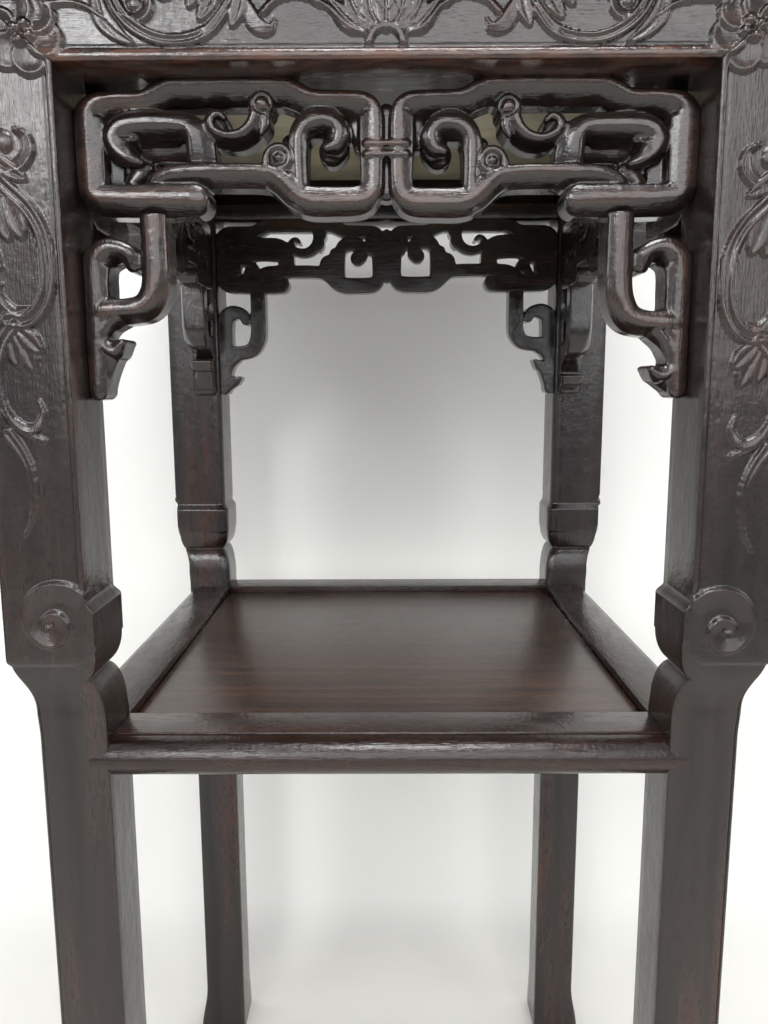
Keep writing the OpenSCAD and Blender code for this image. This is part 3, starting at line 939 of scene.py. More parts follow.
@dataclass
class VineCarving:
    """Vine, rosette, bead and volute that cover the two outer faces of a leg.

    Places are the distance from the stand's axis and the height above the shelf.
    """

    bay: float = BAY
    bead: float = 3.0
    bead_low: float = 74.0
    bead_out: float = 1.5
    shoulder: float = 1.2
    quirk: float = 0.5
    relief: float = 2.2
    slip: float = 0.0
    knee_share: float = 0.45

    def carve(self, face: Relief) -> None:
        """Carves the whole face, on its flat ground.

        Args:
            face: Ground, by distance from the stand's axis and height above the shelf.
        """
        self.vine(face)
        self.volute(face)
        self.edge(face)
        face.rosette((ROSETTE_R, 316))

    def moved(self, points: Line) -> Line:
        """Points of the vine, moved down by this leg's slip."""
        return [(x, z - self.slip) for x, z in points]

    def vine(self, face: Relief) -> None:
        """Carves the stems, curls and leaves, from the top down.

        Args:
            face: Ground, by distance from the stand's axis and height above the shelf.
        """
        h = self.relief
        m = self.moved
        bud = [(158, 278.5), (153.6, 276), (152.4, 270.5), (155.2, 265.4), (160.5, 262.6), (167, 263)]
        face.crescent(m(bud), 6.0, h, 1)
        face.bulb(m([(163.5, 273.5)])[0], 4.8, h * 0.7)
        face.leaf(m([(171, 270), (163, 263), (153.5, 257.5)]), 8.5, h, 0)
        face.leaf(m([(169, 272), (174, 281), (174.5, 291)]), 8.5, h, 3)
        main = [
            (177, 270), (171, 262.5), (163, 255), (154.5, 246.5), (149, 236), (147.4, 223), (148.2, 212),
            (152.2, 203.6), (158.5, 199), (166, 199.5),
        ]
        face.stem(m(main), 7.4, h, 1.3, (0.75, 1.0))
        face.crescent(m([(157, 204.5), (162.5, 203.4), (167, 206.2), (169.4, 211), (168, 215)]), 4.0, h, 1)
        face.leaf(m([(164, 252), (160.5, 243), (156.8, 233.6)]), 10.0, h * 0.9, 0, 1.1)
        face.leaf(m([(166, 252), (165.5, 242), (162.8, 232.6)]), 9.0, h * 0.8, 0, 1.1)
        face.leaf(m([(168, 251), (170, 243), (169.5, 234)]), 9.0, h * 0.9, 0, 1.1)
        face.leaf(m([(168, 222), (174, 231), (175, 243)]), 8.5, h, 3)
        lower = [
            (163, 198), (169, 190), (172, 180), (172.5, 170), (171, 161), (166.5, 153.6), (160.5, 149),
            (154.5, 146.6),
        ]
        face.stem(m(lower), 6.0, h, 0.9, (1.0, 0.45))
        face.leaf(m([(163, 196), (157.5, 191), (152.2, 185.4)]), 8.5, h * 0.9, 0, 1.1)
        face.leaf(m([(164, 196), (159.5, 187), (155.6, 177)]), 9.0, h * 0.8, 0, 1.1)
        face.leaf(m([(166, 194), (164.5, 187), (162.6, 179)]), 8.0, h * 0.9, 0, 1.1)
        cup = [(154.8, 164), (153.8, 158), (156.4, 152.8), (161.5, 152), (167, 156), (170, 162)]
        face.crescent(m(cup), 4.4, h, 1)
        face.leaf(m([(172, 166), (176, 158), (176, 147)]), 7.0, h, 2)
        tail = [(170, 150), (164.5, 141.5), (161, 132), (160.2, 121), (162, 111), (166, 103)]
        face.stem(m(tail), 6.4, h * 0.9, 0.8, (0.9, 0.15))

    def volute(self, face: Relief) -> None:
        """Carves the scroll on the knee.

        Args:
            face: Ground, by distance from the stand's axis and height above the shelf.
        """
        drop = self.slip * self.knee_share
        turn = [
            (140, 75), (146.5, 79.4), (155, 80.6), (162.5, 78.0), (167.8, 71.5), (169.0, 63.5),
            (166, 55.8), (160, 51.2), (153.5, 51.6), (149.6, 56.4), (149.7, 62.4), (153, 66.4),
            (157.6, 66.0), (160.3, 62.8), (159.2, 59.8), (156.4, 60.2),
        ]
        face.scroll([(x, z - drop) for x, z in turn], height=2.2, slope=8.5, inner=-1)

    def edge(self, face: Relief) -> None:
        """Carves the bead along the inner edge, down to the volute.

        Args:
            face: Ground, by distance from the stand's axis and height above the shelf.
        """
        half = self.bead / 2
        t = (face.across - self.bay - half) / half
        below = smooth((face.up - self.bead_low) / 6)
        bead = self.bead_out * np.sqrt(np.clip(1 - t**2, 0, 1)) * below
        inside = face.across < self.bay + half
        shoulder = self.shoulder * below * smooth(face.across - self.bay + 0.6)
        bead = np.where(inside, np.maximum(bead, shoulder), bead)
        face.height = np.maximum(face.height, bead)
        past = face.across - self.bay - self.bead - 0.6
        face.height -= self.quirk * np.exp(-((past / 0.5) ** 2)) * below


@dataclass
class Leg:
    """Square leg with a carved upper part, a scrolled knee, cloud lobes inside and a plain shank."""

    half: float = HALF
    bay: float = BAY
    shank_r: float = 172.0
    shelf_r: float = 137.0
    top_z: float = FRIEZE_Z + FRIEZE_H
    frieze_z: float = FRIEZE_Z
    frieze_h: float = FRIEZE_H
    shelf_z: float = 433.0
    foot_h: float = 46.0
    foot_out: float = 6.0
    chamfer: float = 1.5
    pad: float = 1.2
    bulge: float = 0.8
    inset: float = 2.5
    proud: float = 2.5
    grid: float = 0.68
    slip: float = 0.0

    def levels(self) -> np.ndarray:
        """Spaces the rings, densely where the leg is carved.

        Returns:
            Heights of the rings.
        """
        plain = np.concatenate([np.linspace(0, 60, 14), np.linspace(75, self.shelf_z - 25, 22)])
        turn = np.linspace(self.shelf_z - 20, self.shelf_z - 1, 9)
        carved = np.arange(self.shelf_z, self.top_z - 0.3, self.grid)
        return np.concatenate([plain, turn, carved, [self.top_z]])

    def inner(self, z: np.ndarray) -> np.ndarray:
        """Distance of the inner faces from the axis, with the cloud lobes.

        Args:
            z: Heights.

        Returns:
            Distances, of the same shape.
        """
        u = z - self.shelf_z
        top = self.bay - 2.8 * smooth((71.5 - u) / 5.5)
        upper = 137.2 + 0.9 * np.clip((56 - u) / 12, 0, 1) ** 2
        t = np.clip((47 - u) / 15, 0, 1)
        cusp = 137.7 + 6.8 * (1 - np.sqrt(1 - t**2))
        s = np.clip((32 - u) / 24, 0, 1)
        lower = self.shelf_r + 7.5 * (1 - np.sqrt(1 - (1 - s) ** 2)) * (s < 1)
        return np.select([u >= 66, u >= 47, u >= 32], [top, np.minimum(top, upper), cusp], lower)

    def outer(self, z: np.ndarray, across: np.ndarray) -> np.ndarray:
        """Distance of the outer faces from the axis, with the knee and its pad.

        Args:
            z: Heights.
            across: Distance from the axis along the face.

        Returns:
            Distances, of the same shape.
        """
        u = z - self.shelf_z
        corner = np.clip((150 - across) / 11, 0, 1)
        rise = 10 * (1 - np.sqrt(np.clip(1 - corner**2, 0, 1)))
        t = np.clip((u - 15) / (45 + 0.5 * rise - 15), 0, 1)
        knee = self.shank_r + (self.half - self.shank_r) * (1 - np.cos(np.pi * t)) / 2
        pad = self.pad * (1 - smooth((u - 39.5 - rise) / 3.0)) * smooth((u - 10) / 22)
        foot = self.foot_out * (1 + np.cos(np.pi * np.clip(z / self.foot_h, 0, 1))) / 2
        return knee - pad + foot

    def rings(self) -> np.ndarray:
        """Rings of the leg at the back right corner.

        Returns:
            Array of rings by points by 3, in millimetres.
        """
        z = self.levels()[:, None]
        u = z - self.shelf_z
        inner = self.inner(z)
        corner = 2.0 + 2.5 * smooth((40 - u) / 30)
        edge = 1.0 + 0.8 * smooth((40 - u) / 20)
        reach = self.outer(z, np.full_like(z, self.half))
        n = int(38 / self.grid)
        t = np.linspace(0, 1, n)[None, :]
        across = inner + edge + (reach - corner - inner - edge) * t
        up = np.broadcast_to(u, across.shape).copy()
        face = Relief(across, up)
        VineCarving(slip=self.slip).carve(face)
        fade = smooth((reach - corner - across) / 4) * smooth((u - 35) / 10)
        mitre = self.frieze_z - self.shelf_z + (across - self.bay) * self.frieze_h / (self.half - self.bay)
        under = self.inset * smooth((up - mitre) / 0.9)
        out = self.outer(z, across) + face.height * fade - under
        shank = self.bulge * smooth((20 - u) / 20)
        out = out + shank * (1 - (2 * t - 1) ** 2) - shank
        return self.join(z, inner, edge, corner, reach, across, out)

    def join(
        self, z: np.ndarray, inner: np.ndarray, edge: np.ndarray, corner: np.ndarray, reach: np.ndarray,
        across: np.ndarray, out: np.ndarray,
    ) -> np.ndarray:
        """Joins the faces and rounded edges of the leg into rings.

        Args:
            z: Heights of the rings.
            inner: Distance of the inner faces.
            edge: Radius of the inner arrises.
            corner: Radius of the outer corner.
            reach: Distance of the outer corner's faces.
            across: Places of the carved points along a face.
            out: Distances of the carved points from the axis.

        Returns:
            Array of rings by points by 3.
        """
        cut = self.chamfer * smooth((z - self.shelf_z - 3) / 8) + 0.6
        s = np.linspace(0, 1, 7)[None, :]
        first_p = inner + cut + (out[:, :1] - edge - inner - cut) * s
        first_q = np.broadcast_to(inner, first_p.shape)
        turn = np.linspace(0, np.pi / 2, 5)[None, 1:-1]
        arris_p = out[:, :1] - edge + edge * np.sin(turn)
        arris_q = inner + edge - edge * np.cos(turn)
        bend = np.linspace(0, np.pi / 2, 7)[None, 1:-1]
        corner_p = out[:, -1:] - corner + corner * np.cos(bend)
        corner_q = across[:, -1:] + corner * np.sin(bend) + (out[:, -1:] - reach)
        p = np.hstack([first_p, arris_p, out, corner_p])
        q = np.hstack([first_q, arris_q, across, corner_q])
        loop_p = np.hstack([p, q[:, ::-1]])
        loop_q = np.hstack([q, p[:, ::-1]])
        return np.stack([loop_p, loop_q, np.broadcast_to(z, loop_p.shape)], -1)

    def build(self, name: str) -> Piece:
        """Makes the back right leg.

        Args:
            name: Name of the piece.

        Returns:
            The new piece.
        """
        piece = make_mesh(name, *loft(self.rings()))
        mark_wear(piece, self.half + self.proud, broad=0.12, sharp=900.0, dull=350.0)
        return piece


@dataclass
class Frieze:
    """Mitred frieze with a vine between two rosettes, a lotus in the middle and a bead below."""

    half: float = HALF
    bay: float = BAY
    low_z: float = FRIEZE_Z
    high: float = FRIEZE_H
    back_r: float = 153.0
    cleat: float = 12.0
    bead_h: float = 5.0
    bead_out: float = 1.7
    mitre_gap: float = 0.45
    quirk: float = 0.5
    shift: float = 4.5
    relief: float = 2.0
    grid: float = 0.68

    def carve(self, face: Relief) -> None:
        """Carves both halves of the face at once.

        Args:
            face: Ground, by distance from the middle and height above the lower edge.
        """
        h = self.relief
        sprig = [(9, 10), (15, 12.5), (20, 16.5), (25, 20.8), (32, 24), (40, 24.6), (46.5, 22.6), (51, 18.5)]
        face.stem(sprig, 3.0, h, 0.0, (0.6, 1))
        face.crescent([(61, 27), (57.5, 19), (53.5, 13.2), (48.5, 11.8), (46.2, 15)], 7.0, h, 1)
        face.leaf([(60, 28), (61.5, 20), (64.5, 12.2)], 7.5, h, 0)
        face.leaf([(36, 31), (30, 25), (27, 20)], 7.0, h, 0)
        vine = [
            (60, 30), (65, 22), (71, 14.6), (77.5, 10), (86, 8.0), (95, 8.6), (103, 12), (109, 17),
            (113, 24), (115, 32),
        ]
        face.stem(vine, 5.4, h, 1.2, (0.9, 1))
        face.leaf([(66, 21), (72, 12.8), (79, 6.8)], 4.4, h * 1.1, 0)
        face.leaf([(70, 30), (73, 23), (78, 15)], 8.5, h, 3)
        face.leaf([(76, 31), (79, 25), (82.5, 20)], 6.0, h, 0)
        face.crescent([(110, 18.5), (104.5, 16.6), (100, 18.6), (98.4, 23), (101, 26.8)], 5.0, h, -1)
        face.bulb((104.5, 22.5), 3.2, h * 0.7)
        face.leaf([(97, 30), (92, 26), (87, 28.5)], 6.0, h, 0)
        face.leaf([(104, 5.8), (112, 10.5), (118, 17.5), (120.5, 29)], 8.0, h, 0, 1.25)
        face.stem([(117.5, 16.5), (124, 20.8), (132, 22.8), (141, 22)], 3.2, h, 0.0, (0.5, 1))
        face.leaf([(121, 29), (129, 30.5), (138, 29.5)], 5.0, h, 2)
        dish = 1.2 * np.exp(-(((face.across - 128.5) / 7.5) ** 2) - ((face.up - 12.5) / 5.0) ** 2)
        face.height = np.where(face.height > 0.05, face.height, -dish)
        self.lotus(face)
        face.rosette((ROSETTE_R, 11))
        low = self.bead_h - face.up
        arch = np.sqrt(np.clip(1 - ((face.up - 2.4) / 2.7) ** 2, 0, 1))
        bead = self.bead_out * np.where(low > 0, arch, 0)
        ends = face.across < self.bay + face.up * (self.half - self.bay) / self.high
        face.height = np.maximum(face.height, bead * ends)
        past = face.up - self.bead_h - 0.7
        face.height -= self.quirk * np.exp(-((past / 0.5) ** 2)) * (face.across < 134)

    def lotus(self, face: Relief) -> None:
        """Carves the lotus in the middle.

        Args:
            face: Ground, by distance from the middle and height above the lower edge.
        """
        h = self.relief
        face.leaf([(7, 12), (15, 14.5), (24.5, 24)], 8.5, h * 0.9, 0)
        face.leaf([(5, 12.5), (12, 18), (17, 29)], 9.0, h * 0.95, 3)
        face.leaf([(2, 12), (6.5, 19), (8, 31)], 8.0, h, 3)
        face.leaf([(0, 11), (0, 20), (0, 32)], 9.0, h * 1.1, 3, 0.9)
        ring = np.hypot(face.across, face.up - 6.0)
        cup = h * smooth((9.2 - ring) / 0.9) * smooth((ring - 5.2) / 0.9) * (face.up > 5.5)
        face.height = np.maximum(face.height, cup)

    def back(self, share: np.ndarray) -> np.ndarray:
        """Inner part of each ring: the back, the cleat and the underside.

        Args:
            share: Place of each ring along the frieze, from -1 to 1.

        Returns:
            Array of rings by points by 3, in millimetres.
        """
        bay = self.bay - 0.3
        cleat_r = self.back_r - self.cleat
        soft = 0.6
        ends = np.array([
            (self.back_r - 1, -self.back_r, self.high),
            (bay, -self.back_r, self.cleat),
            (bay, -cleat_r - soft, self.cleat),
            (bay, -cleat_r, self.cleat - soft),
            (bay, -cleat_r, soft),
            (bay, -cleat_r - soft, 0.0),
            (self.bay, -self.half + soft, 0.0),
        ])
        across = share[:, None] * ends[:, 0]
        out = np.broadcast_to(ends[:, 1], across.shape)
        up = np.broadcast_to(self.low_z + ends[:, 2], across.shape)
        return np.stack([across, out, up], -1)

    def build(self, name: str) -> Piece:
        """Makes the front frieze.

        Args:
            name: Name of the piece.

        Returns:
            The new piece.
        """
        nx = int(2 * self.half / self.grid)
        nz = int(self.high / self.grid)
        f = np.linspace(-1, 1, nx)[:, None]
        y = np.linspace(0.25, self.high, nz)[None, :]
        reach = self.bay + y * (self.half - self.bay) / self.high
        x = f * reach
        far = np.abs(x)
        pull = self.shift * smooth((far - 12) / 25) * (1 - smooth((far - 118) / 18)) * (x > 0)
        face = Relief(far + pull, np.broadcast_to(y, x.shape).copy())
        self.carve(face)
        joint = (1 - np.abs(f)) * reach
        gap = self.mitre_gap * (1 - smooth(joint / 0.9)) * (y > self.bead_h)
        out = self.half + face.height - gap
        front = np.stack([x, -out, np.broadcast_to(self.low_z + y, x.shape)], -1)
        piece = make_mesh(name, *loft(np.concatenate([front, self.back(f[:, 0])], 1)))
        band = self.low_z + self.bead_h
        mark_wear(piece, self.half + self.relief, broad=0.22, sharp=900.0, dull=350.0, band=band)
        for flat in piece.data.polygons:
            flat.material_index = int(flat.normal.z < -0.8 or flat.center.y > -MM * (self.back_r + 4))
        return piece


# Openwork


@dataclass(frozen=True)
class Stroke:
    """One carved bar of the openwork.

    Each point of its crest holds the place across, the height, the reach of the bar's base to the left and to
    the right of the way that the line runs, and how far the crest dips there. A square bar starts with a
    cut end.
    """

    points: Sequence[tuple[float, ...]]
    sink: float = 0.0
    steep: float = 0.36
    flat: float = 0.14
    square: bool = False


@dataclass
class Openwork:
    """Bars with ridged fronts and wide bases, carved from one board.

    A bar keeps square walls at least wall high behind its flanks, and its round ends sink by end_sink.
    """

    front_r: float = 161.0
    deep: float = 19.0
    reach: float = 139.9
    voxel: float = 0.7
    wall: float = 3.0
    end_sink: float = 3.0
    lip: float = 0.5
    bevel: float = 0.6
    groove: float = 0.75
    groove_deep: float = 1.1
    front_deep: float = 9.0

    def section(
        self, left: float, right: float, sink: float, stroke: Stroke, full: float, lean: float
    ) -> np.ndarray:
        """Section of a bar: a narrow front whose flanks fall away to square walls.

        Args:
            left: Reach of the base to the left of the crest.
            right: Reach of the base to the right of the crest.
            sink: Setback of the crest from the board's front.
            stroke: Bar, for the flat share of its front and the fall of its flanks.
            full: Share of the flank's depth, below 1 at a rounded end.
            lean: How far the left flank faces up, from -1 to 1; a flank that faces down is steeper.

        Returns:
            Points as place across and depth from the board's front.
        """
        t = np.linspace(0, 1, 9)
        slope = np.clip((t - stroke.flat) / (1 - stroke.flat), 0, 1) ** 1.5
        limit = self.deep - self.wall - sink
        fall_l = min(self.lip * full + stroke.steep * left * self.drop(lean), limit)
        fall_r = min(self.lip * full + stroke.steep * right * self.drop(-lean), limit)
        crest_l = np.stack([left * t[::-1], sink + fall_l * slope[::-1]], 1)
        crest_r = np.stack([-right * t[1:], sink + fall_r * slope[1:]], 1)
        bevel = min(self.bevel, left / 3, right / 3)
        back = np.array([
            [-right, self.deep - bevel], [bevel - right, self.deep], [left - bevel, self.deep],
            [left, self.deep - bevel],
        ])
        return np.vstack([crest_l, crest_r, back])

    @staticmethod
    def drop(lean: float) -> float:
        """Share of the fall of a flank that faces up by lean; one that faces down is the steepest."""
        return 0.6 + 1.5 * max(-lean, 0.0) - 0.15 * max(lean, 0.0)

    def bar(self, stroke: Stroke) -> tuple[np.ndarray, list[np.ndarray]]:
        """Sweeps a bar along its crest, with round ends.

        Args:
            stroke: Crest and widths.

        Returns:
            Points and faces for make_mesh, with X across, Y back from the front and Z up.
        """
        track = through(stroke.points, 0.9)
        heading = np.gradient(track[:, :2], axis=0)
        heading /= np.linalg.norm(heading, axis=1)[:, None]
        rows = [(p[:2], way, p[2], p[3], stroke.sink + p[4], 1.0) for p, way in zip(track, heading)]
        dome = np.linspace(0.2, 0.97, 6)
        for end, sign in ((0, -1), (-1, 1)):
            if stroke.square and end == 0:
                continue
            x, z, left, right, dip = track[end]
            tip = heading[end] * sign * (left + right) / 2
            cap = []
            for d in dome:
                full = math.sqrt(1 - d * d)
                centre = np.array([x, z]) + tip * d
                sink = stroke.sink + dip + self.end_sink * (1 - full)
                cap.append((centre, heading[end], left * full, right * full, sink, full))
            rows = rows + cap if sign > 0 else cap[::-1] + rows
        rings = []
        for centre, way, left, right, sink, full in rows:
            side = np.array([-way[1], way[0]])
            shape = self.section(left, right, sink, stroke, full, float(side[1]))
            flat = centre[None, :] + shape[:, :1] * side[None, :]
            rings.append(np.stack([flat[:, 0], shape[:, 1], flat[:, 1]], 1))
        return loft(np.array(rings))

    def build(self, name: str, strokes: Sequence[Stroke], cuts: Sequence[Line] = ()) -> Piece:
        """Runs the bars together into one piece.

        Args:
            name: Name of the object.
            strokes: Bars, by place across and height.
            cuts: Lines incised into the front.

        Returns:
            The new object, on the front of the stand.
        """
        points = []
        faces = []
        count = 0
        for stroke in strokes:
            p, f = self.bar(stroke)
            p = p + np.array([0, -self.front_r, 0])
            outward = volume(p, f) > 0
            points.append(p)
            faces.extend([(g if outward else g[:, ::-1]) + count for g in f])
            count += len(p)
        piece = make_mesh(name, np.vstack(points), faces)
        apply_modifier(piece, "REMESH", mode="VOXEL", voxel_size=self.voxel * MM, use_smooth_shade=True)
        apply_modifier(piece, "SMOOTH", factor=0.5, iterations=3)
        self.incise(piece, cuts)
        piece.data.shade_smooth()
        mark_wear(piece, self.front_r, broad=0.45, sharp=1700.0, dull=900.0, near=1.0)
        return piece

    def incise(self, piece: Piece, cuts: Sequence[Line]) -> None:
        """Cuts fine grooves into the front of a piece and trims its ends to the legs.

        Args:
            piece: Object on the front of the stand.
            cuts: Lines of the grooves, by place across and height.
        """
        mesh = piece.data
        co = read(mesh.vertices, "co", 3, np.float32) / MM
        for cut in cuts:
            face = Relief(co[:, 0].astype(float), co[:, 2].astype(float))
            spots, off, _, _ = face.near(through(cut, 0.8), 3 * self.groove)
            front = co[spots, 1] < self.front_deep - self.front_r
            co[spots, 1] += np.where(front, self.groove_deep * np.exp(-((off / self.groove) ** 2)), 0)
        co[:, 0] = np.clip(co[:, 0], -self.reach, self.reach)
        mesh.vertices.foreach_set("co", (co * MM).ravel())
        mesh.update()


@dataclass
class Fret(Openwork):
    """Fret apron under a frieze, cut by eye, so that its halves differ a little."""

    frieze_z: float = FRIEZE_Z
    inner_in: float = 1.2
    inner_low: float = 1.6
    ribbon_low: float = 0.8
    button: tuple[float, float] = (55.6, -10.1)
    button_r: float = 3.3

    def half(self, sign: int) -> list[Stroke]:
        """Bars of one half.

        Args:
            sign: 1 for the right half and -1 for the left.

        Returns:
            The bars.
        """
        ribbon = [
            (87, -50.2, 6.2, 7.2, -0.4), (96, -49.8, 5.8, 8, -0.3), (126, -49.3, 5.5, 8),
            (131.6, -49.1, 6.6, 6.8), (134.2, -47.4, 7, 5.8), (134.8, -43, 7.6, 6), (134.8, -18, 7.6, 6),
            (133.8, -12, 7.8, 5), (129.6, -8.0, 8.6, 3), (122, -6.6, 8.2, 1.8), (110, -6.2, 8.2, 1.8),
            (104, -3.6, 8.6, 2), (98.5, -1.0, 9, 1.6), (93, -0.4, 9.4, 1.2), (72, -0.3, 9.4, 1.2),
            (50, -0.4, 9.4, 1.2), (45, -0.8, 9.2, 1.6), (39, -3.2, 8.8, 2), (33, -5.9, 8.4, 1.8),
            (22, -6.3, 8.2, 1.8), (11, -7, 8.2, 2), (6, -9.8, 8.2, 2.3), (4.3, -15, 8.2, 2.6),
            (4.2, -28, 8, 2.6), (4.3, -43, 7.6, 2.6), (6.5, -48.6, 7, 4), (12, -51.2, 6.6, 5.8),
            (24, -51.5, 6.4, 6.2), (34, -51.2, 6.4, 6.4), (40, -48.6, 5, 6.8), (46, -42.6, 3.8, 7.2),
            (51.5, -38.8, 2.6, 7.5), (60, -37.6, 2.4, 7.6), (72, -37.4, 2.4, 7.6, 0.1),
            (84, -37.4, 2.4, 7.6, 0.4), (94, -37.8, 2.6, 7.2, 1.0), (101, -39.4, 3, 6, 1.8),
            (106.5, -42.8, 3, 4.5, 3), (109.5, -46.5, 2.4, 3, 5),
        ]
        scroll = [
            (39.5, -50, 4, 4), (39.6, -42, 4, 4.2), (40, -30, 4.5, 4.6), (39.4, -23, 5, 4.6),
            (36, -18.2, 6, 5), (30, -16.3, 6.5, 5), (25, -16.9, 6.5, 4.5), (21.9, -19.6, 6.5, 4),
            (21, -23.5, 6, 4), (22.8, -27.4, 4.5, 4), (26.4, -28.8, 2.6, 2.6),
        ]
        tendril = [
            (58.6, -9.5, 3.2, 4.6), (59.2, -13.5, 2.4, 6.4), (61.6, -18.4, 2, 6.4), (66, -21.8, 1.8, 6),
            (72, -22.6, 1.8, 5.4), (77.4, -20.4, 1.8, 4.6), (78.6, -16.6, 1.6, 3.4),
            (75.6, -14.2, 1.4, 2.4), (72.9, -16, 1.2, 1.8),
        ]
        arch = [
            (86.5, -36, 9, 4.2, 2.5), (86.5, -31, 9.3, 4, 0.8), (87.3, -23, 8.5, 4.4),
            (90.6, -18.7, 6, 6), (97, -17.2, 5, 9), (110, -16.8, 4.5, 10.5), (118.5, -17.8, 4.5, 11),
            (123, -20.8, 4.4, 12), (124.2, -25, 4.4, 11), (121.5, -29.8, 4, 8), (116.5, -32.8, 3, 4.5),
            (111.5, -34.3, 1.6, 1.8, 1.5),
        ]
        curl = [
            (54.4, -39, 2.3, 2.1), (54.2, -33, 2.3, 2.1), (52, -29.4, 2.2, 2.1), (48.2, -28.2, 2.1, 2.1),
            (44.7, -30.2, 2, 2.1), (43.8, -34, 1.9, 2), (46, -37, 1.7, 1.8), (48.6, -37, 1.3, 1.3),
        ]
        knob = [(48.4, -33.2, 2.5, 2.5), (48.7, -33.1, 2.5, 2.5), (49.0, -33.0, 2.5, 2.5)]
        parts = [
            (ribbon, 0.0, 0.38, 0.0), (scroll, 0.3, 0.6, 1.0), (tendril, 0.4, 0.75, 1.0),
            (arch, 0.6, 0.6, 1.0), (curl, 0.2, 0.9, 1.0), (knob, 0.4, 0.5, 1.0),
            ([(23, -27, 6, 6), (24, -28, 6, 6), (25, -29, 6, 6)], 6.0, 0.4, 1.0),
            ([(48.4, -33.6, 6, 6), (48.8, -33.4, 6, 6), (49.2, -33.2, 6, 6)], 2.4, 0.2, 1.0),
            ([(43.5, -25, 4.5, 4.5), (45, -31, 5, 5), (46.5, -36, 5, 5)], 7.0, 0.4, 1.0),
            ([(55.3, -10.2, 5, 5), (55.6, -10.1, 5, 5), (55.9, -10, 5, 5)], -0.2, 0.4, 1.0),
            ([(55.4, -14, 3, 3), (55, -18, 2.8, 2.8), (56.4, -22.5, 1, 1)], 1.8, 0.5, 1.0),
            ([(92, -24, 7.5, 7.5), (102, -23.5, 7.5, 7.5), (112, -24, 7.5, 7.5)], 11.0, 0.2, 1.0),
            ([(111, -37, 5, 5), (114.5, -40, 4.5, 4.5), (118, -44, 3, 3)], 6.0, 0.5, 1.0),
            ([(125, -14, 6, 6), (126, -26, 6, 6), (126, -40, 5, 5)], 9.5, 0.2, 1.0),
            ([(14, -13, 4, 4), (13.4, -19, 3.5, 3.5), (12.6, -26, 2.5, 2.5)], 8.0, 0.2, 0.0),
        ]
        bars = []
        for line, sink, steep, inner in parts:
            bars.append(Stroke([self.place(sign, *p, inner=inner) for p in line], sink, steep))
        return bars

    def place(
        self, sign: int, x: float, z: float, left: float = 1.0, right: float = 1.0, dip: float = 0.0,
        inner: float = 1.0,
    ) -> tuple[float, ...]:
        """Puts a point of the drawing on one half; the right half's inner scrolls sit lower and closer in.

        Args:
            sign: 1 for the right half and -1 for the left.
            x: Distance from the middle.
            z: Height from the frieze.
            left: Reach of the bar to the left of its way.
            right: Reach of the bar to the right of its way.
            dip: Dip of the crest.
            inner: 1 for the inner scrolls and 0 for the ribbon.

        Returns:
            Place across, height, reach to the left and right on that half, and dip.
        """
        if sign < 0:
            return (-x, self.frieze_z + z, right, left, dip)
        low = min(max((-z - 10) / 25, 0), 1)
        height = self.frieze_z + z - self.inner_low * inner - self.ribbon_low * low * (1 - inner)
        return (x - self.inner_in * inner, height, left, right, dip)

    def ties(self) -> list[Stroke]:
        """Draws the web and the two bands that tie the halves together.

        Returns:
            Strokes of the web and the bands.
        """
        web = [(0.0, self.frieze_z + z, 3.4, 3.4, 0.0) for z in (-11.0, -30.0, -47.0)]
        bands = [Stroke(web, 7.0)]
        for z in (-27.3, -32.0):
            at = self.frieze_z + z
            bands.append(Stroke([(x, at, 1.9, 1.9, 0) for x in (-9, 0, 9)], -0.5, 1.0))
        return bands

    def cuts(self) -> list[Line]:
        """Draws the grooves round the buttons.

        Returns:
            Lines by place across and height.
        """
        x, z = self.button
        r = self.button_r
        ring = [(x + r * math.cos(a), z + r * math.sin(a)) for a in np.linspace(-2.0, 3.2, 9)]
        return [[self.place(sign, *point)[:2] for point in ring] for sign in (1, -1)]

    def strokes(self) -> list[Stroke]:
        """All the bars."""
        return self.half(1) + self.half(-1) + self.ties()


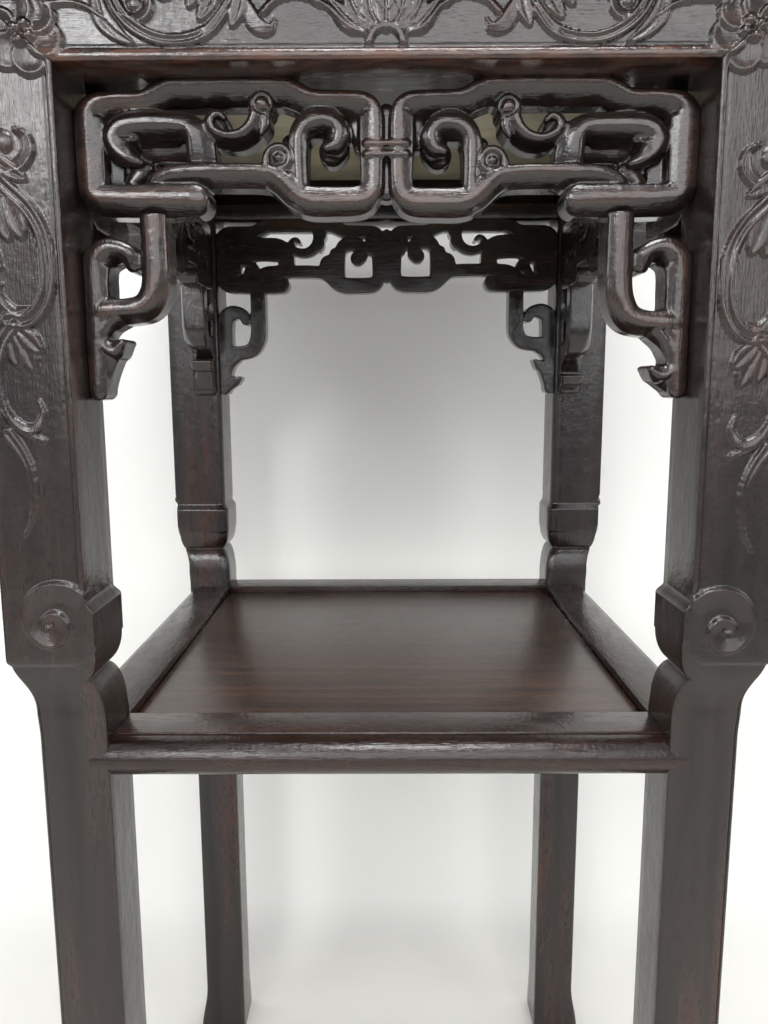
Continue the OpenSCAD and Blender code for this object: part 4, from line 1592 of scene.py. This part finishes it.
@dataclass
class Spandrel(Openwork):
    """Bracket under the end of a fret, against a leg."""

    fret_z: float = 680.0
    stretch: float = 0.0
    bend_low: float = 45.0
    foot_low: float = 78.0
    foot_h: float = 14.0

    def strokes(self) -> list[Stroke]:
        """Draws the spandrel at the right end of the front.

        Returns:
            Strokes of its bars.
        """
        post = [
            (107, 1.5, 6, 6.2), (107, -14, 6, 6.2), (107.2, -27, 6, 6.4), (108.4, -35, 5.8, 6.8),
            (112.4, -41.6, 5.4, 6.8), (119, -44, 5, 6.6), (128, -44.6, 5, 6.6), (135, -45, 5, 6),
        ]
        stem = [
            (136.4, -78.5, 4.4, 4.8), (136, -68, 5.0, 5.2), (135.8, -57, 5.6, 5.4), (135.8, -50, 7, 5.4),
            (135.8, -40, 7, 5.4), (135.8, -26, 7.2, 5.4), (134.4, -18.2, 8, 5.2), (129, -13.8, 8.4, 4.2),
            (122.6, -14.2, 7, 3.8), (118.6, -17, 5.4, 4), (117, -21.4, 4, 3.6, 1),
        ]
        hook = [
            (130, -46, 4, 4), (134.4, -52, 5, 3), (135, -59, 5, 3), (132.6, -65, 4, 4.4),
            (127.8, -66.8, 3.4, 5.4), (125.6, -65.2, 2.6, 4.8), (123.4, -63, 1.4, 2.4),
        ]
        web = [(126.5, -48, 3, 5.2), (130.6, -52.5, 3, 4), (133.4, -58, 3, 3.2)]
        leaf = [(131.5, -67, 4.5, 5.5), (134.2, -73, 4.5, 4.5), (136, -78.5, 3.6, 3.6)]
        parts = (
            (post, 0.0, 0.54, 0.2), (stem, 0.3, 0.54, 0.16), (hook, 0.6, 0.6, 0.1), (web, 1.0, 0.6, 0.1),
            (leaf, 1.8, 0.6, 0.1),
        )
        bars = []
        for line, sink, steep, flat in parts:
            bars.append(Stroke([self.place(*p) for p in line], sink, steep, flat, line is post))
        return bars

    def place(self, x: float, z: float, left: float, right: float, dip: float = 0.0) -> tuple[float, ...]:
        """Puts a point of the drawing at its height, drawn out by the stretch except at its foot.

        Args:
            x: Place across.
            z: Height from the fret's lower edge.
            left: Reach of the bar to the left of its way.
            right: Reach of the bar to the right of its way.
            dip: Dip of the crest.

        Returns:
            Place across, height, reach to the left and right, and dip.
        """
        low = max(-z, 0.0)
        loose = min(1.0, max(0.0, (self.foot_low - low) / self.foot_h))
        share = self.stretch * low / self.bend_low * loose
        return (x, self.fret_z + z * (1 + share), left, right, dip)


# Plain joinery


@dataclass
class Joinery:
    """Plain members: copies of the solids with softened edges; its angles are in radians."""

    finishes: Finishes
    weld: float = 1e-6
    level: float = math.radians(1.0)
    sharp: float = math.radians(40.0)

    def soften(
        self, node: str, slot: Slot, grain: Grain, width: float, plain: Material | None = None,
        under: Material | None = None,
    ) -> None:
        """Copies a solid, rounds its edges and puts the copy in its place.

        Args:
            node: Name of the solid.
            slot: Material slot of the record.
            grain: Axis of the fibres.
            width: Width of the rounding, in millimetres.
            plain: Finish of the faces, if it isn't the waxed wood.
            under: Finish of the underside, if it isn't that of the faces.
        """
        piece = add_object(f"{node}_finished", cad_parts[node].data.copy())
        only(piece)
        bpy.ops.object.mode_set(mode="EDIT")
        bpy.ops.mesh.select_all(action="SELECT")
        bpy.ops.mesh.remove_doubles(threshold=self.weld)
        bpy.ops.mesh.dissolve_limited(angle_limit=self.level)
        bpy.ops.object.mode_set(mode="OBJECT")
        piece.data.materials.clear()
        piece.data.materials.append(self.finishes.wood[grain])
        piece.data.materials.append(self.finishes.arris[grain])
        apply_modifier(
            piece, "BEVEL", width=width * MM, segments=3, limit_method="ANGLE", angle_limit=self.sharp,
            material=1, use_clamp_overlap=True,
        )
        only(piece)
        bpy.ops.object.shade_smooth_by_angle(angle=self.sharp)
        arris = self.finishes.arris[grain] if plain is None else plain
        if under is not None:
            arris = under
            for face in piece.data.polygons:
                face.material_index = int(face.normal.z < -0.5)
        dress(piece, node, slot, plain or self.finishes.wood[grain], arris)


# Stage


@dataclass(frozen=True)
class Lamp:
    """Soft lamp: its place, the point that it faces and its width and height, in metres, and its watts."""

    name: str
    place: tuple[float, float, float]
    target: tuple[float, float, float]
    size: tuple[float, float]
    power: float

    def hang(self) -> None:
        """Adds the lamp to the scene, unseen by the camera."""
        light = bpy.data.lights.new(self.name, "AREA")
        light.shape = "RECTANGLE"
        light.size, light.size_y = self.size
        light.energy = self.power
        made = add_object(self.name, light)
        made.location = self.place
        made.rotation_mode = "QUATERNION"
        made.rotation_quaternion = (Vector(self.target) - Vector(self.place)).to_track_quat("-Z", "Y")
        made.visible_camera = False


LAMPS = (
    Lamp("window", (-0.75, -1.66, 1.28), (-0.1, -0.18, 0.7), (0.5, 0.42), 7.2),
    Lamp("ceiling", (0.1, -0.95, 2.1), (0, 0, 0.5), (0.8, 0.5), 18.0),
    Lamp("room_high", (0.15, -2.3, 1.62), (0, 0, 0.7), (2.2, 0.85), 19.0),
    Lamp("room_low", (0.15, -2.35, 0.9), (0, 0, 0.6), (2.2, 0.55), 8.5),
    Lamp("rear", (0.5, 1.6, 1.7), (0, 0, 0.45), (1.2, 0.9), 11.0),
    Lamp("panel_left", (-1.7, -0.95, 1.15), (0, 0, 0.65), (0.7, 0.9), 7.0),
    Lamp("panel_right", (1.7, -0.95, 1.15), (0, 0, 0.65), (0.7, 0.9), 7.0),
)


@dataclass
class Studio:
    """Pale floor and wall, soft lamps and the camera.

    The backdrop's sizes are in millimetres, the eye's place is in metres and its turns are in radians.
    """

    finishes: Finishes
    fill: float = 0.14
    surround: float = 0.7
    air: str = "#f4f6f8"
    wall: float = 252.0
    far: float = 2600.0
    gap: float = 0.05
    eye: tuple[float, float, float] = (-0.0002, -0.54157, 0.60276)
    yaw: float = -0.0042
    pitch: float = 0.1536
    roll: float = -0.004
    lens_mm: float = 28.30
    sensor_mm: float = 36.0

    def backdrop(self) -> None:
        """Makes the floor and the wall as one sheet with a rounded foot, and the floor behind the wall."""
        far = self.far
        a = np.linspace(0, math.pi / 2, 13)
        y = np.concatenate([[-far], self.wall - COVE + COVE * np.sin(a), [self.wall]])
        z = np.concatenate([[0.0], COVE * (1 - np.cos(a)), [far]])
        x = np.array([-far, far])
        grid = np.stack(np.broadcast_arrays(x[:, None], y[None, :], z[None, :] - self.gap), -1)
        n = len(y)
        j = np.arange(n - 1)
        quads = np.stack([j, n + j, n + j + 1, j + 1], 1)
        self.sheet("backdrop", grid.reshape(-1, 3), quads)
        near = self.wall - COVE - 1
        low = -2 * self.gap
        corners = [(-far, near, low), (far, near, low), (far, far, low), (-far, far, low)]
        self.sheet("floor_behind", np.array(corners), np.array([[0, 1, 2, 3]]))

    def sheet(self, name: str, points: np.ndarray, faces: np.ndarray) -> None:
        """Adds a plastered sheet to the scene.

        Args:
            name: Name of the object.
            points: Corners, in millimetres.
            faces: Quads, by index of their corners.
        """
        mesh = bpy.data.meshes.new(name)
        mesh.from_pydata((points * MM).tolist(), [], faces.tolist())
        mesh.shade_smooth()
        mesh.materials.append(self.finishes.plaster)
        made = add_object(name, mesh)

    def lights(self) -> None:
        """Hangs the lamps and sets the room's own light."""
        world = bpy.data.worlds.new("room")
        bpy.context.scene.world = world
        world.use_nodes = True
        tree = world.node_tree
        tree.nodes.clear()
        shown = shown_ray(tree)
        level = add_node(tree, "ShaderNodeMapRange", Value=shown, To_Min=self.fill, To_Max=self.surround)
        strength = level.outputs["Result"]
        room = add_node(tree, "ShaderNodeBackground", Color=linear(self.air), Strength=strength)
        add_node(tree, "ShaderNodeOutputWorld", Surface=room.outputs["Background"])
        for lamp in LAMPS:
            lamp.hang()

    def camera(self) -> None:
        """Places the camera where the view was taken from."""
        along = math.cos(self.pitch)
        ahead = Vector((math.sin(self.yaw) * along, math.cos(self.yaw) * along, -math.sin(self.pitch)))
        level = Vector((math.cos(self.yaw), -math.sin(self.yaw), 0))
        lift = level.cross(ahead)
        right = math.cos(self.roll) * level + math.sin(self.roll) * lift
        up = -math.sin(self.roll) * level + math.cos(self.roll) * lift
        lens = bpy.data.cameras.new("camera")
        lens.sensor_width = self.sensor_mm
        lens.lens = self.lens_mm
        lens.clip_start = 0.01
        made = add_object("camera", lens)
        turn = Matrix((right, up, -ahead)).transposed().to_4x4()
        made.matrix_world = Matrix.Translation(self.eye) @ turn
        bpy.context.scene.camera = made


class Stand:
    """The whole stand."""

    def __init__(self, finishes: Finishes) -> None:
        """Keeps the finishes.

        Args:
            finishes: Materials of the stand.
        """
        self.finishes = finishes

    def legs(self) -> None:
        """Makes the four legs; the carving on the right pair sits lower."""
        left = Leg().build("leg_pattern_left")
        right = Leg(slip=8.0).build("leg_pattern_right")
        corners = (
            ("leg_front_left", left, 2), ("leg_front_right", right, 3),
            ("leg_back_right", right, 0), ("leg_back_left", left, 1),
        )
        for node, pattern, turns in corners:
            piece = copy_piece(pattern, f"{node}_carved", turns)
            dress(piece, node, Slot.DARK_WOOD, self.finishes.leg)
        for pattern in (left, right):
            bpy.data.objects.remove(pattern)

    def all_round(self, kind: str, pattern: Piece, backed: bool) -> None:
        """Puts a copy of a carved pattern on each side, and removes the pattern.

        Args:
            kind: First word of the nodes' names.
            pattern: Piece for the front.
            backed: Whether its second material is the unpolished back.
        """
        for side in Side:
            node = f"{kind}_{side.name.lower()}"
            piece = copy_piece(pattern, f"{node}_carved", side.value)
            backs = [self.finishes.raw[side.grain]] if backed else []
            dress(piece, node, Slot.CARVED_WOOD, self.finishes.wood[side.grain], *backs)
        bpy.data.objects.remove(pattern)

    def friezes(self) -> None:
        """Makes the four friezes."""
        self.all_round("frieze", Frieze().build("frieze_pattern"), backed=True)

    def frets(self) -> None:
        """Makes the four fret aprons."""
        fret = Fret()
        pattern = fret.build("fret_pattern", fret.strokes(), fret.cuts())
        self.all_round("fret", pattern, backed=False)

    def spandrels(self) -> None:
        """Makes the eight spandrels; the one at the left end of each side is shorter."""
        short = Spandrel(stretch=-0.075)
        long = Spandrel(stretch=0.075)
        left = short.build("spandrel_short", short.strokes())
        right = long.build("spandrel_long", long.strokes())
        for side in Side:
            for step, pattern in ((-1, left), (1, right)):
                end = Side((side.value + step) % len(Side))
                node = f"spandrel_{side.name}_{end.name}".lower()
                piece = copy_piece(pattern, f"{node}_carved", side.value, mirror=step < 0)
                dress(piece, node, Slot.CARVED_WOOD, self.finishes.wood[Grain.Z])
        for pattern in (left, right):
            bpy.data.objects.remove(pattern)

    def boards(self) -> None:
        """Softens the rails, the panel, the top frame, the slab and the battens."""
        joinery = Joinery(self.finishes)
        rail_edge = 0.7
        panel_edge = 0.6
        slab_edge = 0.8
        batten_edge = 1.0
        for side in Side:
            finish = self.finishes.rail[side.grain]
            joinery.soften(f"shelf_rail_{side.name.lower()}", Slot.DARK_WOOD, side.grain, rail_edge, finish)
        joinery.soften("shelf_panel", Slot.PANEL_WOOD, Grain.X, panel_edge, self.finishes.board)
        joinery.soften("shelf_batten", Slot.DARK_WOOD, Grain.Y, batten_edge)
        for node in ("top_rail_front", "top_rail_back"):
            joinery.soften(node, Slot.DARK_WOOD, Grain.X, rail_edge)
        for node in ("top_stile_right", "top_stile_left"):
            joinery.soften(node, Slot.DARK_WOOD, Grain.Y, rail_edge)
        stone = self.finishes.marble
        # The slab's underside takes the paler marble copy, which paints light onto it
        joinery.soften("top_slab", Slot.PALE_STONE, Grain.X, slab_edge, stone, self.finishes.underside_light)
        joinery.soften("top_batten", Slot.DARK_WOOD, Grain.Y, batten_edge)

    def pins(self) -> None:
        """Finishes the bamboo pins, which stay as the solids are."""
        for node in ("fret_pins", "spandrel_pins"):
            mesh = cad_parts[node].data
            mesh.materials.clear()
            mesh.materials.append(self.finishes.bamboo)
            LOG.info("%s: %d faces", node, len(mesh.polygons))

    def build(self) -> None:
        """Makes every part of the stand, in order."""
        self.legs()
        self.friezes()
        self.frets()
        self.spandrels()
        self.boards()
        self.pins()


def main() -> None:
    """Builds the stand and the studio."""
    logging.basicConfig(level=logging.INFO, format="%(name)s %(message)s")
    finishes = Finishes()
    Stand(finishes).build()
    studio = Studio(finishes)
    studio.backdrop()
    studio.lights()
    studio.camera()
    bpy.context.scene.view_settings.view_transform = "Standard"
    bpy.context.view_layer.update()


if __name__ == "__main__":
    main()
